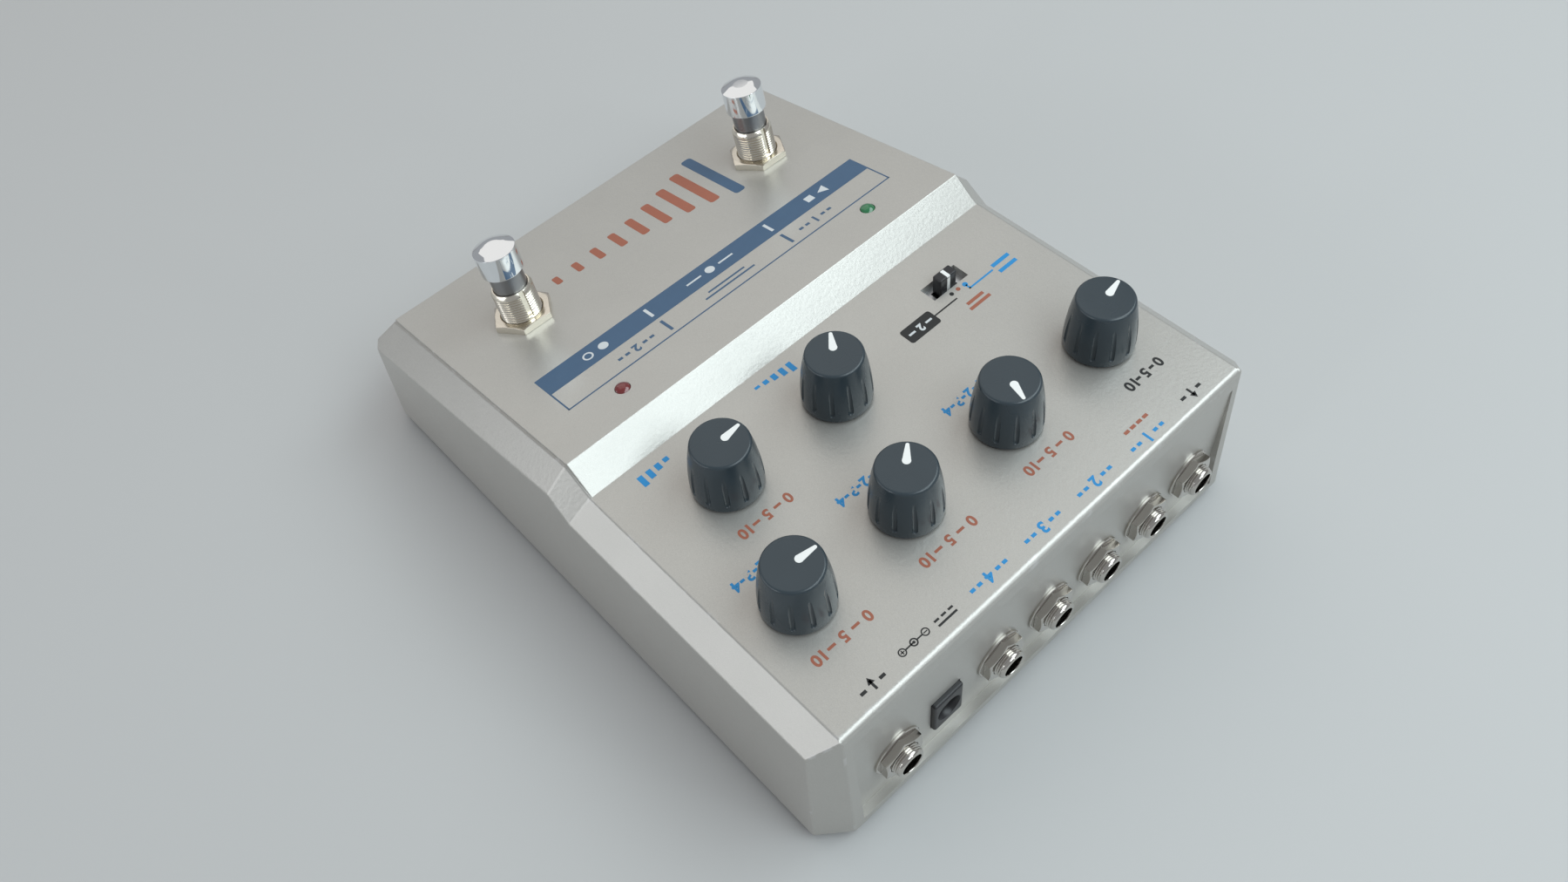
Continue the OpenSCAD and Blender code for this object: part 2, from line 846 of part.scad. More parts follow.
function spring_point(k) =
    let (n = spring_turns * spring_steps, rise = spring_l - 2 * spring_wire_r - 2 * spring_gap,
        a = 360 * k / spring_steps, r = plunger_r - spring_wire_r - spring_side)
    [r * cos(a), r * sin(a), spring_foot + spring_wire_r + spring_gap + rise * k / n];

function spring_ring(k) =
    let (c = spring_point(k), a = 360 * k / spring_steps)
    [for (j = [0 : spring_sides - 1]) let (b = 360 * j / spring_sides)
        c + spring_wire_r * [cos(b) * cos(a), cos(b) * sin(a), sin(b)]];

module foot_spring(side) {
    n = spring_turns * spring_steps;
    s = spring_sides;
    points = [for (k = [0 : n]) each spring_ring(k)];
    walls = [for (k = [0 : n - 1], j = [0 : s - 1])
        each [[k * s + j, k * s + (j + 1) % s, (k + 1) * s + (j + 1) % s],
            [k * s + j, (k + 1) * s + (j + 1) % s, (k + 1) * s + j]]];
    ends = [for (j = [1 : s - 2]) each [[0, j + 1, j], [n * s, n * s + j, n * s + j + 1]]];
    color("#a9abad")
        at_foot(side)
            polyhedron(points, concat(walls, ends));
}

module foot_nuts() {
    color("#cfc9b8")
        for (s = [-1, 1])
            at_foot(s)
                difference() {
                    hex(foot_nut_af, foot_nut_t);
                    translate([0, 0, -overcut])
                        cylinder(r = thread_r + seat_fit, h = foot_nut_t + 2 * overcut);
                }
}

module foot_washers() {
    color("#b5b5b2")
        for (s = [-1, 1])
            at_foot(s)
                translate([0, 0, -panel_t - foot_washer_t])
                    difference() {
                        cylinder(r = foot_body_w / 2, h = foot_washer_t);
                        translate([0, 0, -overcut])
                            cylinder(r = thread_r + hole_fit, h = foot_washer_t + 2 * overcut);
                    }
}

module at_jack(i) {
    place()
        on_rear_panel(jack_x(i), -jack_drop)
            children();
}

// Threaded sleeve with a rounded mouth and a flange behind the panel
module jack(i) {
    mouth_lip = 0.2;
    mouth_r = sleeve_r - plug_bore_r - mouth_lip;
    color("#cfcabf")
        at_jack(i)
            difference() {
                rotate_extrude() {
                    translate([0, jack_front])
                        square([sleeve_r + sleeve_flange_out, sleeve_flange_t]);
                    translate([0, jack_front])
                        square([sleeve_r, sleeve_out - mouth_r - jack_front]);
                    translate([0, jack_front])
                        square([sleeve_r - mouth_r, sleeve_out - jack_front]);
                    translate([sleeve_r - mouth_r, sleeve_out - mouth_r])
                        intersection() {
                            circle(mouth_r);
                            square(mouth_r);
                        }
                }
                translate([0, 0, jack_front - overcut])
                    cylinder(r = plug_bore_r, h = reach);
            }
}

module jack_bodies() {
    end_skin = 1.5;
    color("#202225")
        for (i = [1 : 6])
            at_jack(i)
                difference() {
                    translate([-jack_body_w / 2, -jack_body_up, jack_front - jack_body_l])
                        cube([jack_body_w, jack_body_up + jack_body_low, jack_body_l]);
                    translate([0, 0, jack_front - jack_body_l + end_skin])
                        cylinder(r = plug_bore_r + hole_fit, h = jack_body_l);
                }
}

module jack_nuts() {
    color("#cdc8bd")
        for (i = [1 : 6])
            at_jack(i)
                translate([0, 0, washer_t])
                    difference() {
                        rotate([0, 0, 30])
                            hex(jack_nut_af, jack_nut_t);
                        translate([0, 0, -overcut])
                            cylinder(r = sleeve_r + seat_fit, h = jack_nut_t + 2 * overcut);
                    }
}

module jack_washers() {
    color("#b9b6ae")
        for (i = [1 : 6])
            at_jack(i)
                difference() {
                    cylinder(r = washer_r, h = washer_t);
                    translate([0, 0, -overcut])
                        cylinder(r = sleeve_r + hole_fit, h = washer_t + 2 * overcut);
                }
}

module at_inlet() {
    place()
        on_rear_panel(inlet_x, jack_board_z + inlet_h / 2)
            children();
}

module inlet() {
    lead = 0.8;
    color("#17181a")
        at_inlet()
            difference() {
                translate([-inlet_w / 2, -inlet_h / 2, inlet_out - inlet_l])
                    cube([inlet_w, inlet_h, inlet_l]);
                translate([0, 0, inlet_out - socket_d])
                    cylinder(r = socket_r, h = socket_d + overcut);
                translate([0, 0, inlet_out - lead])
                    cylinder(r1 = socket_r, r2 = socket_r + 2 * lead, h = 2 * lead);
            }
}

module inlet_pin() {
    short = 1.2;
    color("#c8c9c6")
        at_inlet()
            translate([0, 0, inlet_out - socket_d])
                cylinder(r = pin_r, h = socket_d - short);
}

housing();
base_plate();
base_screws();
rubber_feet();
main_board();
jack_board();
knob(1);  // knob_1
knob(2);  // knob_2
knob(3);  // knob_3
knob(4);  // knob_4
knob(5);  // knob_5
knob(6);  // knob_6
pointer(1);  // pointer_1
pointer(2);  // pointer_2
pointer(3);  // pointer_3
pointer(4);  // pointer_4
pointer(5);  // pointer_5
pointer(6);  // pointer_6
shaft(1);  // shaft_1
shaft(2);  // shaft_2
shaft(3);  // shaft_3
shaft(4);  // shaft_4
shaft(5);  // shaft_5
shaft(6);  // shaft_6
pot(1);  // pot_1
pot(2);  // pot_2
pot(3);  // pot_3
pot(4);  // pot_4
pot(5);  // pot_5
pot(6);  // pot_6
pot_nuts();
slide_body();
slide_lever();
lamp_left();
lamp_right();
lamp_spacers();
foot_body(-1);  // foot_left_body
foot_bushing(-1);  // foot_left_bushing
foot_plunger(-1);  // foot_left_plunger
foot_cap(-1);  // foot_left_cap
foot_spring(-1);  // foot_left_spring
foot_body(1);  // foot_right_body
foot_bushing(1);  // foot_right_bushing
foot_plunger(1);  // foot_right_plunger
foot_cap(1);  // foot_right_cap
foot_spring(1);  // foot_right_spring
foot_nuts();
foot_washers();
jack(1);  // jack_1
jack(2);  // jack_2
jack(3);  // jack_3
jack(4);  // jack_4
jack(5);  // jack_5
jack(6);  // jack_6
jack_bodies();
jack_nuts();
jack_washers();
inlet();
inlet_pin();
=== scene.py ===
# %% [markdown]
# # A delay pedal with two footswitches
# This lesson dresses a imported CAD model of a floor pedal. The CAD model is the frame: it fixes every size
# and every joint. Here each visible piece is modelled again with soft edges and threads, and gets its
# finish. Sizes are in millimetres in the numbers below and turned into metres where Blender needs them.

# %% Load the frame
import json
import math
import bpy
from mathutils import Matrix, Vector


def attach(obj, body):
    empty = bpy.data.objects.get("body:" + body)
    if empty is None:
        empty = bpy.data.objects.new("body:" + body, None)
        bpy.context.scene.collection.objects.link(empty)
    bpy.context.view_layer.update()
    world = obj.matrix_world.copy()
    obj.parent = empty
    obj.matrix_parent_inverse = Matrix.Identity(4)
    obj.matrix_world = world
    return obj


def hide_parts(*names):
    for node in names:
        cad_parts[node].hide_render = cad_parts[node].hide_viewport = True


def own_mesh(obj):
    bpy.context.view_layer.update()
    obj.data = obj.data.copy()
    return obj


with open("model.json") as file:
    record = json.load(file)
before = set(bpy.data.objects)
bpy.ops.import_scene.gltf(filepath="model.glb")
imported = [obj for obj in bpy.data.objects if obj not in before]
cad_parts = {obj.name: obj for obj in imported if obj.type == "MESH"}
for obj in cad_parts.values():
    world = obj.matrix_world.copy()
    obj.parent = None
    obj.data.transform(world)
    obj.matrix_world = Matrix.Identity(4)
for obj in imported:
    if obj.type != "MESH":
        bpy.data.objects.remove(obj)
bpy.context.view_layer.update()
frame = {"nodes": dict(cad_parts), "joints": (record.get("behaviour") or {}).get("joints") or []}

# %% [markdown]
# ## The camera
# The picture is taken from behind the pedal, on the player's right, looking down at the jacks. The camera
# could be aimed with a Track To constraint, but a hand-held picture is also tilted a little, so its three
# axes are given outright: right, up and back. They make the columns of the camera's matrix.

# %% Camera
MM = 0.001
REAR_Y = 100.771  # rear top edge of the case in the frame
PANEL_Z = 55.0  # control panel's height in the frame
LENS, SENSOR_WIDTH = 28.9, 36.0
NEAREST = 10 * MM  # nothing closer to the lens is drawn


def case_point(x, y, z):
    """A point of the case, measured from the rear top edge and the control panel, in the frame in metres."""
    return Vector((x, y + REAR_Y, z + PANEL_Z)) * MM


eye = case_point(144.6, 88.5, 272.0)
right = Vector((-0.7324, 0.6760, -0.0813)).normalized()
down = Vector((0.5842, 0.5625, -0.5851))
down = (down - down.dot(right) * right).normalized()
back = right.cross(-down)
camera_data = bpy.data.cameras.new("photo_camera")
camera = bpy.data.objects.new("photo_camera", camera_data)
bpy.context.scene.collection.objects.link(camera)
camera.matrix_world = Matrix.Translation(eye) @ Matrix((right, -down, back)).transposed().to_4x4()
camera_data.lens = LENS
camera_data.sensor_width = SENSOR_WIDTH
camera_data.clip_start = NEAREST
bpy.context.scene.camera = camera
print("camera at", [round(c, 3) for c in eye])

# %% [markdown]
# ## Floor and light
# The pedal stands on a plain pale floor. One big soft window behind its left rear corner gives the bright
# step and the lit strips of the picture. A low lamp on the player's right opens the shadows there, and a
# broad warm one above the player's end lights the foot panel. One bare lamp would be simpler, but its hard
# shadows would hide the jacks. Two small weak lamps only add the glints on the knobs' rims and the plated
# parts.

# %% Floor and world
FLOOR_SIZE = 6.0  # metres
FLOOR_COLOUR = (0.52, 0.52, 0.515, 1)
FLOOR_ROUGHNESS = 0.6
SKY_COLOUR = (0.93, 0.96, 1.0, 1)
SKY_STRENGTH = 0.37


def only(piece):
    bpy.ops.object.select_all(action="DESELECT")
    piece.select_set(True)
    bpy.context.view_layer.objects.active = piece


def add_primitive(kind, name, **sizes):
    bpy.ops.object.select_all(action="DESELECT")
    getattr(bpy.ops.mesh, "primitive_" + kind + "_add")(**sizes)
    piece = bpy.context.object
    piece.name = piece.data.name = name
    return piece


floor = add_primitive("plane", "floor", size=FLOOR_SIZE, location=(0, 0, 0))
bpy.ops.object.transform_apply()
floor_paint = bpy.data.materials.new("floor_paint")
floor_paint.use_nodes = True
matt = floor_paint.node_tree.nodes["Principled BSDF"]
matt.inputs["Base Color"].default_value = FLOOR_COLOUR
matt.inputs["Roughness"].default_value = FLOOR_ROUGHNESS
floor.data.materials.append(floor_paint)

world = bpy.context.scene.world or bpy.data.worlds.new("studio")
bpy.context.scene.world = world
world.use_nodes = True
sky = world.node_tree.nodes["Background"]
sky.inputs["Color"].default_value = SKY_COLOUR
sky.inputs["Strength"].default_value = SKY_STRENGTH
print("floor", floor.dimensions[:2], "world", world.name)

# %% Lamps
COOL = (0.9, 0.97, 1.0)
LIGHT_AIM = case_point(0, -100, 0)


def add_window(name, direction, distance, size, power, colour):
    """A rectangular lamp that faces the pedal. Distance and size are in metres, power in watts."""
    lamp = bpy.data.lights.new(name, "AREA")
    lamp.shape = "RECTANGLE"
    lamp.size, lamp.size_y = size
    lamp.energy = power
    lamp.color = colour
    window = bpy.data.objects.new(name, lamp)
    bpy.context.scene.collection.objects.link(window)
    window.location = LIGHT_AIM + Vector(direction).normalized() * distance
    window.rotation_euler = Vector(direction).to_track_quat("Z", "Y").to_euler()


add_window("window_light", direction=(-0.38, 0.45, 0.81), distance=1.1, size=(1.5, 0.6), power=10.4,
           colour=(0.84, 0.96, 1.0))
add_window("side_light", direction=(0.90, -0.36, 0.24), distance=1.3, size=(1.3, 0.6), power=3.7,
           colour=(0.92, 0.96, 1.0))
add_window("ceiling_light", direction=(-0.22, -0.62, 0.80), distance=1.4, size=(1.5, 1.6), power=4.4,
           colour=(1.0, 0.95, 0.88))
add_window("rear_glint", direction=(-0.30, 0.86, 0.41), distance=1.3, size=(0.14, 0.14), power=0.6,
           colour=COOL)
add_window("side_glint", direction=(0.90, 0.03, 0.42), distance=1.3, size=(0.14, 0.14), power=0.6,
           colour=COOL)
bpy.context.scene.view_settings.view_transform = "Standard"

# %% [markdown]
# ## Tools for modelling
# Every piece below is made the way it is made by hand: a primitive is added, then cut, extruded, bevelled
# or turned in edit mode. A few short helpers keep those steps readable. `keep_below` saws a piece along a
# plane, `turn` grows a turned part ring by ring, and `combine` is a boolean modifier that is applied at
# once.

# %% Helpers for cutting
def block(name, low, high):
    """A box between two corners, in millimetres of the case."""
    low, high = Vector(low) * MM, Vector(high) * MM
    box = add_primitive("cube", name, size=1.0, location=(low + high) / 2, scale=high - low)
    bpy.ops.object.transform_apply()
    return box


def start_edit(piece):
    only(piece)
    bpy.ops.object.mode_set(mode="EDIT")
    bpy.ops.mesh.select_mode(type="VERT")
    bpy.ops.mesh.select_all(action="SELECT")


def end_edit():
    bpy.ops.object.mode_set(mode="OBJECT")


def start_edit_on(piece, kind, is_chosen):
    """Starts editing with only the chosen faces or edges selected."""
    start_edit(piece)
    bpy.ops.mesh.select_mode(type=kind)
    bpy.ops.mesh.select_all(action="DESELECT")
    end_edit()
    for element in piece.data.polygons if kind == "FACE" else piece.data.edges:
        element.select = is_chosen(element)
    bpy.ops.object.mode_set(mode="EDIT")


def keep_below(piece, point, normal):
    """Saws along a plane, drops what lies on the normal's side and closes the cut."""
    start_edit(piece)
    bpy.ops.mesh.bisect(plane_co=Vector(point) * MM, plane_no=Vector(normal).normalized(), use_fill=True,
                        clear_outer=True)
    end_edit()


def clean(piece, gap=0.0005):
    """Merges near points, in millimetres, and turns the normals outwards."""
    start_edit(piece)
    bpy.ops.mesh.remove_doubles(threshold=gap * MM)
    bpy.ops.mesh.normals_make_consistent(inside=False)
    end_edit()


print("helpers for cutting ready")


# %% Helper for turned parts
def turn(name, profile, sides=64, ring=False):
    """Turns (radius, height) points about z. A ring is closed on itself, any other profile gets flat ends."""
    radius, height = profile[0]
    piece = add_primitive("circle", name, vertices=sides, radius=radius * MM, location=(0, 0, height * MM),
                          fill_type="NOTHING" if ring else "NGON")
    bpy.ops.object.transform_apply()
    start_edit(piece)
    bpy.ops.mesh.select_mode(type="EDGE")
    for next_radius, next_height in profile[1:] + (profile[:1] if ring else []):
        rise = (0, 0, (next_height - height) * MM)
        bpy.ops.mesh.extrude_edges_move(TRANSFORM_OT_translate={"value": rise})
        share = next_radius / radius
        bpy.ops.transform.resize(value=(share, share, 1))
        radius, height = next_radius, next_height
    if not ring:
        bpy.ops.mesh.edge_face_add()
    end_edit()
    clean(piece)
    return piece


print("helper for turned parts ready")


# %% Helpers for joining and rounding
def apply_modifier(piece, kind, **settings):
    """Adds a modifier with these settings and applies it at once."""
    only(piece)
    modifier = piece.modifiers.new(kind.lower(), kind)
    for setting, value in settings.items():
        setattr(modifier, setting, value)
    bpy.ops.object.modifier_apply(modifier=modifier.name)


def combine(piece, other, operation):
    """Joins, cuts or keeps the overlap of two closed pieces, and removes the second."""
    apply_modifier(piece, "BOOLEAN", operation=operation, solver="EXACT", object=other)
    bpy.data.objects.remove(other)


def join(name, pieces):
    """Makes one object of several that stay separate solids."""
    bpy.ops.object.select_all(action="DESELECT")
    for piece in pieces:
        piece.select_set(True)
    bpy.context.view_layer.objects.active = pieces[0]
    if len(pieces) > 1:
        bpy.ops.object.join()
    pieces[0].name = pieces[0].data.name = name
    return pieces[0]


def soften(piece, width, segments=2, angle=30):
    """Rounds every edge sharper than the angle."""
    apply_modifier(piece, "BEVEL", width=width * MM, segments=segments, limit_method="ANGLE",
                   angle_limit=math.radians(angle))


print("helpers for joining and rounding ready")


# %% Helpers for placing and dressing
def settle(piece, x=0.0, y=0.0, z=0.0, tilt=0.0, spin=0.0):
    """Moves a finished piece to its place on the case and leaves its object at the origin."""
    only(piece)
    piece.rotation_euler = (math.radians(tilt), 0, math.radians(spin))
    piece.location = case_point(x, y, z)
    bpy.ops.object.transform_apply()
    return piece


def copy_of(piece, name):
    double = piece.copy()
    double.data = piece.data.copy()
    double.name = double.data.name = name
    bpy.context.scene.collection.objects.link(double)
    return double


def set_out(name, model, places):
    """Puts a copy of the model at each place, joins the copies and removes the model."""
    copies = [settle(copy_of(model, model.name), *place) for place in places]
    bpy.data.objects.remove(model)
    return join(name, copies)


def smooth(piece, angle=32):
    """Shades smooth up to the angle. Large faces outweigh a rounding's small ones, so flats look flat."""
    only(piece)
    bpy.ops.object.shade_smooth_by_angle(angle=math.radians(angle))
    apply_modifier(piece, "WEIGHTED_NORMAL", keep_sharp=True)


def dress(piece, material, body, slot, *nodes):
    """Gives a piece its finish, the body that it rides on and the CAD nodes that it stands for."""
    piece.data.materials.clear()
    piece.data.materials.append(material)
    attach(piece, body)
    if nodes:
        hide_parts(*nodes)
    print(piece.name, len(piece.data.polygons), "faces on", body)


print("helpers for dressing ready")

# %% [markdown]
# ## Shared surface effects
# Paint, plating and plastic share three small effects: a mottle that keeps a colour from being flat, a
# grain that feeds bump and roughness, and wear that shows on the rounded edges. Each is a node group with
# its own inputs, so a material only sets how strong and how fine it is. All of them read Object
# coordinates, which are metres here.

# %% Helpers for nodes
def link(material, source, target):
    material.node_tree.links.new(source, target)


def add_node(tree, kind, **inputs):
    node = tree.nodes.new(kind)
    for socket, value in inputs.items():
        node.inputs[socket.replace("_", " ")].default_value = value
    return node


def add_group(tree, group, **inputs):
    """Places a node group in a material's tree and sets its inputs."""
    node = tree.nodes.new("ShaderNodeGroup")
    node.node_tree = group
    for socket, value in inputs.items():
        node.inputs[socket].default_value = value
    return node


print("helpers for nodes ready")


# %% Helpers for node groups
def new_group(name, inputs, outputs):
    group = bpy.data.node_groups.new(name, "ShaderNodeTree")
    for label, kind, default in inputs:
        socket = group.interface.new_socket(label, in_out="INPUT", socket_type=kind)
        socket.default_value = default
    for label, kind in outputs:
        group.interface.new_socket(label, in_out="OUTPUT", socket_type=kind)
    return group, group.nodes.new("NodeGroupInput"), group.nodes.new("NodeGroupOutput")


def object_noise(group, scale, detail, rough):
    """Noise on Object coordinates. The scale is a number or the socket that gives it."""
    place = group.nodes.new("ShaderNodeTexCoord")
    noise = add_node(group, "ShaderNodeTexNoise", Detail=detail, Roughness=rough)
    group.links.new(place.outputs["Object"], noise.inputs["Vector"])
    if isinstance(scale, float):
        noise.inputs["Scale"].default_value = scale
    else:
        group.links.new(scale, noise.inputs["Scale"])
    return noise.outputs["Fac"]


def math_node(group, operation, first, second):
    node = group.nodes.new("ShaderNodeMath")
    node.operation = operation
    for socket, value in zip(node.inputs, (first, second)):
        if isinstance(value, float):
            socket.default_value = value
        else:
            group.links.new(value, socket)
    return node.outputs[0]


print("helpers for node groups ready")

# %% Node groups
COLOUR, FLOAT = "NodeSocketColor", "NodeSocketFloat"
NOISE_MEAN = 0.5
SMEAR_SCALE = 45.0  # hand-sized patches that are a little duller or glossier
CHIP_SCALE, CHIP_LEVEL, CHIP_EDGE = 180.0, 0.56, 9.0

mottle, enter, leave = new_group(
    "mottle", [("Colour", COLOUR, (0.5, 0.5, 0.5, 1)), ("Scale", FLOAT, 60.0), ("Amount", FLOAT, 0.05)],
    [("Colour", COLOUR)])
blotches = object_noise(mottle, enter.outputs["Scale"], detail=4.0, rough=0.6)
spread = math_node(mottle, "SUBTRACT", blotches, NOISE_MEAN)
shade = math_node(mottle, "ADD", math_node(mottle, "MULTIPLY", spread, enter.outputs["Amount"]), 1.0)
scaled = mottle.nodes.new("ShaderNodeVectorMath")
scaled.operation = "SCALE"
mottle.links.new(enter.outputs["Colour"], scaled.inputs[0])
mottle.links.new(shade, scaled.inputs["Scale"])
mottle.links.new(scaled.outputs[0], leave.inputs["Colour"])

grain, enter, leave = new_group(
    "grain", [("Scale", FLOAT, 2000.0), ("Roughness", FLOAT, 0.4), ("Spread", FLOAT, 0.1)],
    [("Height", FLOAT), ("Roughness", FLOAT)])
height = object_noise(grain, enter.outputs["Scale"], detail=3.0, rough=0.55)
smear = math_node(grain, "SUBTRACT", object_noise(grain, SMEAR_SCALE, detail=3.0, rough=0.6), NOISE_MEAN)
change = math_node(grain, "MULTIPLY", smear, enter.outputs["Spread"])
grain.links.new(height, leave.inputs["Height"])
grain.links.new(math_node(grain, "ADD", change, enter.outputs["Roughness"]), leave.inputs["Roughness"])

wear, enter, leave = new_group("edge_wear", [("Amount", FLOAT, 0.5)], [("Mask", FLOAT)])
rounded = wear.nodes.new("ShaderNodeAttribute")
rounded.attribute_name = "rounded_edge"
patches = math_node(wear, "SUBTRACT", object_noise(wear, CHIP_SCALE, detail=4.0, rough=0.65), CHIP_LEVEL)
chips = math_node(wear, "MULTIPLY", math_node(wear, "MAXIMUM", patches, 0.0), CHIP_EDGE)
masked = math_node(wear, "MULTIPLY", math_node(wear, "MINIMUM", chips, 1.0), rounded.outputs["Fac"])
wear.links.new(math_node(wear, "MULTIPLY", masked, enter.outputs["Amount"]), leave.inputs["Mask"])
print("groups", [g.name for g in bpy.data.node_groups])

# %% [markdown]
# ## Finishes
# The case is sprayed with a satin metallic paint: warm grey with fine bright flakes and a pebbled skin that
# shows in the low light of the strips. Metals are full metallic with a colour of their own: nickel is warm,
# chrome is cool. Plastics and rubber are dielectric. One function builds them all, and the paint then gets
# its flakes and worn edges.

# %% One function for every finish
BUMP_HEIGHT = 0.05  # millimetres


def finish(name, colour, rough, grain_size, bump, metallic=0.0, spread=0.1, mottled=0.12, mottle_scale=70.0):
    """A Principled finish with mottled colour, grainy roughness and fine bump. Grain is in millimetres."""
    material = bpy.data.materials.new(name)
    material.use_nodes = True
    tree = material.node_tree
    shader = tree.nodes["Principled BSDF"]
    shader.inputs["Metallic"].default_value = metallic
    skin = add_group(tree, grain, Scale=1.0 / (grain_size * MM), Roughness=rough, Spread=spread)
    tone = add_group(tree, mottle, Colour=(*colour, 1), Scale=mottle_scale, Amount=mottled)
    tone.name = "tone"
    bumps = add_node(tree, "ShaderNodeBump", Strength=bump, Distance=BUMP_HEIGHT * MM)
    link(material, skin.outputs["Height"], bumps.inputs["Height"])
    link(material, bumps.outputs["Normal"], shader.inputs["Normal"])
    link(material, skin.outputs["Roughness"], shader.inputs["Roughness"])
    link(material, tone.outputs["Colour"], shader.inputs["Base Color"])
    return material


case_paint = finish("case_paint", (0.49, 0.475, 0.445), metallic=0.55, rough=0.35, grain_size=1.1, bump=1.0,
                    spread=0.06, mottled=0.06)
plate_paint = finish("plate_paint", (0.07, 0.07, 0.07), metallic=0.2, rough=0.5, grain_size=0.4, bump=0.3)
print("paints", case_paint.name, plate_paint.name)

# %% Metals
nickel = finish("nickel", (0.58, 0.55, 0.51), metallic=1.0, rough=0.11, grain_size=0.3, bump=0.04,
                spread=0.08)
warm_nickel = finish("warm_nickel", (0.74, 0.69, 0.60), metallic=1.0, rough=0.20, grain_size=0.3, bump=0.05)
chrome = finish("chrome", (0.84, 0.86, 0.88), metallic=1.0, rough=0.06, grain_size=0.5, bump=0.015,
                spread=0.05, mottled=0.03)
dark_steel = finish("dark_steel", (0.30, 0.30, 0.31), metallic=1.0, rough=0.28, grain_size=0.2, bump=0.08,
                    spread=0.12)
zinc = finish("zinc", (0.58, 0.59, 0.61), metallic=1.0, rough=0.34, grain_size=0.25, bump=0.1, spread=0.15)
print("metals", [m.name for m in (nickel, warm_nickel, chrome, dark_steel, zinc)])

# %% Plastics, rubber and circuit board
knob_plastic = finish("knob_plastic", (0.032, 0.046, 0.056), rough=0.27, grain_size=0.35, bump=0.08,
                      spread=0.08, mottled=0.2)
pointer_white = finish("pointer_white", (0.86, 0.86, 0.84), rough=0.38, grain_size=0.4, bump=0.08,
                       mottled=0.05)
black_plastic = finish("black_plastic", (0.018, 0.018, 0.02), rough=0.38, grain_size=0.4, bump=0.12,
                       spread=0.12, mottled=0.2)
switch_blue = finish("switch_blue", (0.03, 0.07, 0.13), rough=0.45, grain_size=0.4, bump=0.1)
rubber = finish("rubber", (0.016, 0.016, 0.016), rough=0.75, grain_size=0.3, bump=0.4, spread=0.12,
                mottled=0.3)
board_green = finish("board_green", (0.02, 0.11, 0.05), rough=0.35, grain_size=0.6, bump=0.1, mottled=0.35,
                     mottle_scale=400.0)
print("finishes so far", len(bpy.data.materials))

# %% Inks
INK_SKIN = {"rough": 0.5, "grain_size": 0.5, "bump": 0.2, "mottle_scale": 500.0}
ink_red = finish("ink_red", (0.35, 0.112, 0.066), **INK_SKIN)
ink_blue = finish("ink_blue", (0.014, 0.25, 0.57), **INK_SKIN)
ink_slate = finish("ink_slate", (0.052, 0.108, 0.190), rough=0.48, grain_size=0.5, bump=0.25,
                   mottle_scale=300.0)
ink_black = finish("ink_black", (0.014, 0.014, 0.014), **{**INK_SKIN, "rough": 0.55})
ink_white = finish("ink_white", (0.62, 0.64, 0.65), mottled=0.08, **INK_SKIN)
print("finishes", len(bpy.data.materials))

# %% Paint flakes and worn edges
BARE_METAL = (0.62, 0.61, 0.60, 1)
tree = case_paint.node_tree
flakes = add_group(tree, mottle, Scale=6500.0, Amount=0.55)
worn = add_group(tree, wear, Amount=0.6)
bare = tree.nodes.new("ShaderNodeMix")
bare.data_type = "RGBA"
bare.inputs["B"].default_value = BARE_METAL
link(case_paint, tree.nodes["tone"].outputs["Colour"], flakes.inputs["Colour"])
link(case_paint, flakes.outputs["Colour"], bare.inputs["A"])
link(case_paint, worn.outputs["Mask"], bare.inputs["Factor"])
link(case_paint, bare.outputs["Result"], tree.nodes["Principled BSDF"].inputs["Base Color"])
print("paint nodes", len(tree.nodes))

# %% Lamp lenses
LENS_SKIN = {"rough": 0.18, "grain_size": 0.5, "bump": 0.05, "spread": 0.06, "mottled": 0.1,
             "mottle_scale": 300.0}
LENS_COAT, LENS_COAT_ROUGHNESS = 0.7, 0.09
lens_red = finish("lens_red", (0.16, 0.018, 0.018), **LENS_SKIN)
lens_green = finish("lens_green", (0.02, 0.16, 0.06), **LENS_SKIN)
for glossy in (lens_red, lens_green):
    shader = glossy.node_tree.nodes["Principled BSDF"]
    shader.inputs["Coat Weight"].default_value = LENS_COAT
    shader.inputs["Coat Roughness"].default_value = LENS_COAT_ROUGHNESS
    print("polished", glossy.name)

# %% [markdown]
# ## The case
# The real case is one casting: a level rear block, a step, and a sloping foot panel, with sloped strips
# along the top edges and walls that lean out so that it leaves its mould. It could be drawn as one mesh,
# but sawing two blocks along the casting's own planes keeps each plane true. The two blocks are then
# joined, and their edges rounded by weight: the rear top edge is soft, the rest are crisp.

# %% Planes of the casting
UP = Vector((0, 0, 1))
DRAFT = math.radians(3.0)  # outward lean of the walls
SLOPE = math.radians(10.2)  # fall of the foot panel
STEP = math.radians(32.17)  # rise of the strips at the step
HALF_TOP, STRIP = 75.0, 7.3  # half the flat top's width, and the strip beside it
LOWER_EDGE, WALL = -51.5, 2.6
RIDGE = Vector((0, -103.7, 6.75))  # top of the step
STRIP_RIDGE = Vector((0, -104.2, 5.66))  # the same on the strips, which lie lower
STEP_AT_WALL_Y = -97.306  # where the step's strip runs out on the side wall
FRONT_TOP = Vector((0, -199.8, -11.541))
FRONT_WALL = Vector((0, -205.692, -20.018))
FRONT_CORNER_X = 79.97
REAR_CORNER = math.atan2(STRIP, 5.8)  # the cut-off corner is 5.8 mm deep
FOOT_UP = Vector((0, -math.sin(SLOPE), math.cos(SLOPE)))
STEP_UP = Vector((0, math.sin(STEP), math.cos(STEP)))
STEP_FACE = Vector((0, 6.75, 8.7)).normalized()
FRONT_STRIP = Vector((0, -0.8211, 0.5707))
flat_normals = [UP, -UP, FOOT_UP, STEP_UP, STEP_FACE, Vector((0, 1, 0))]
print("foot panel slopes", round(math.degrees(SLOPE), 1), "degrees")

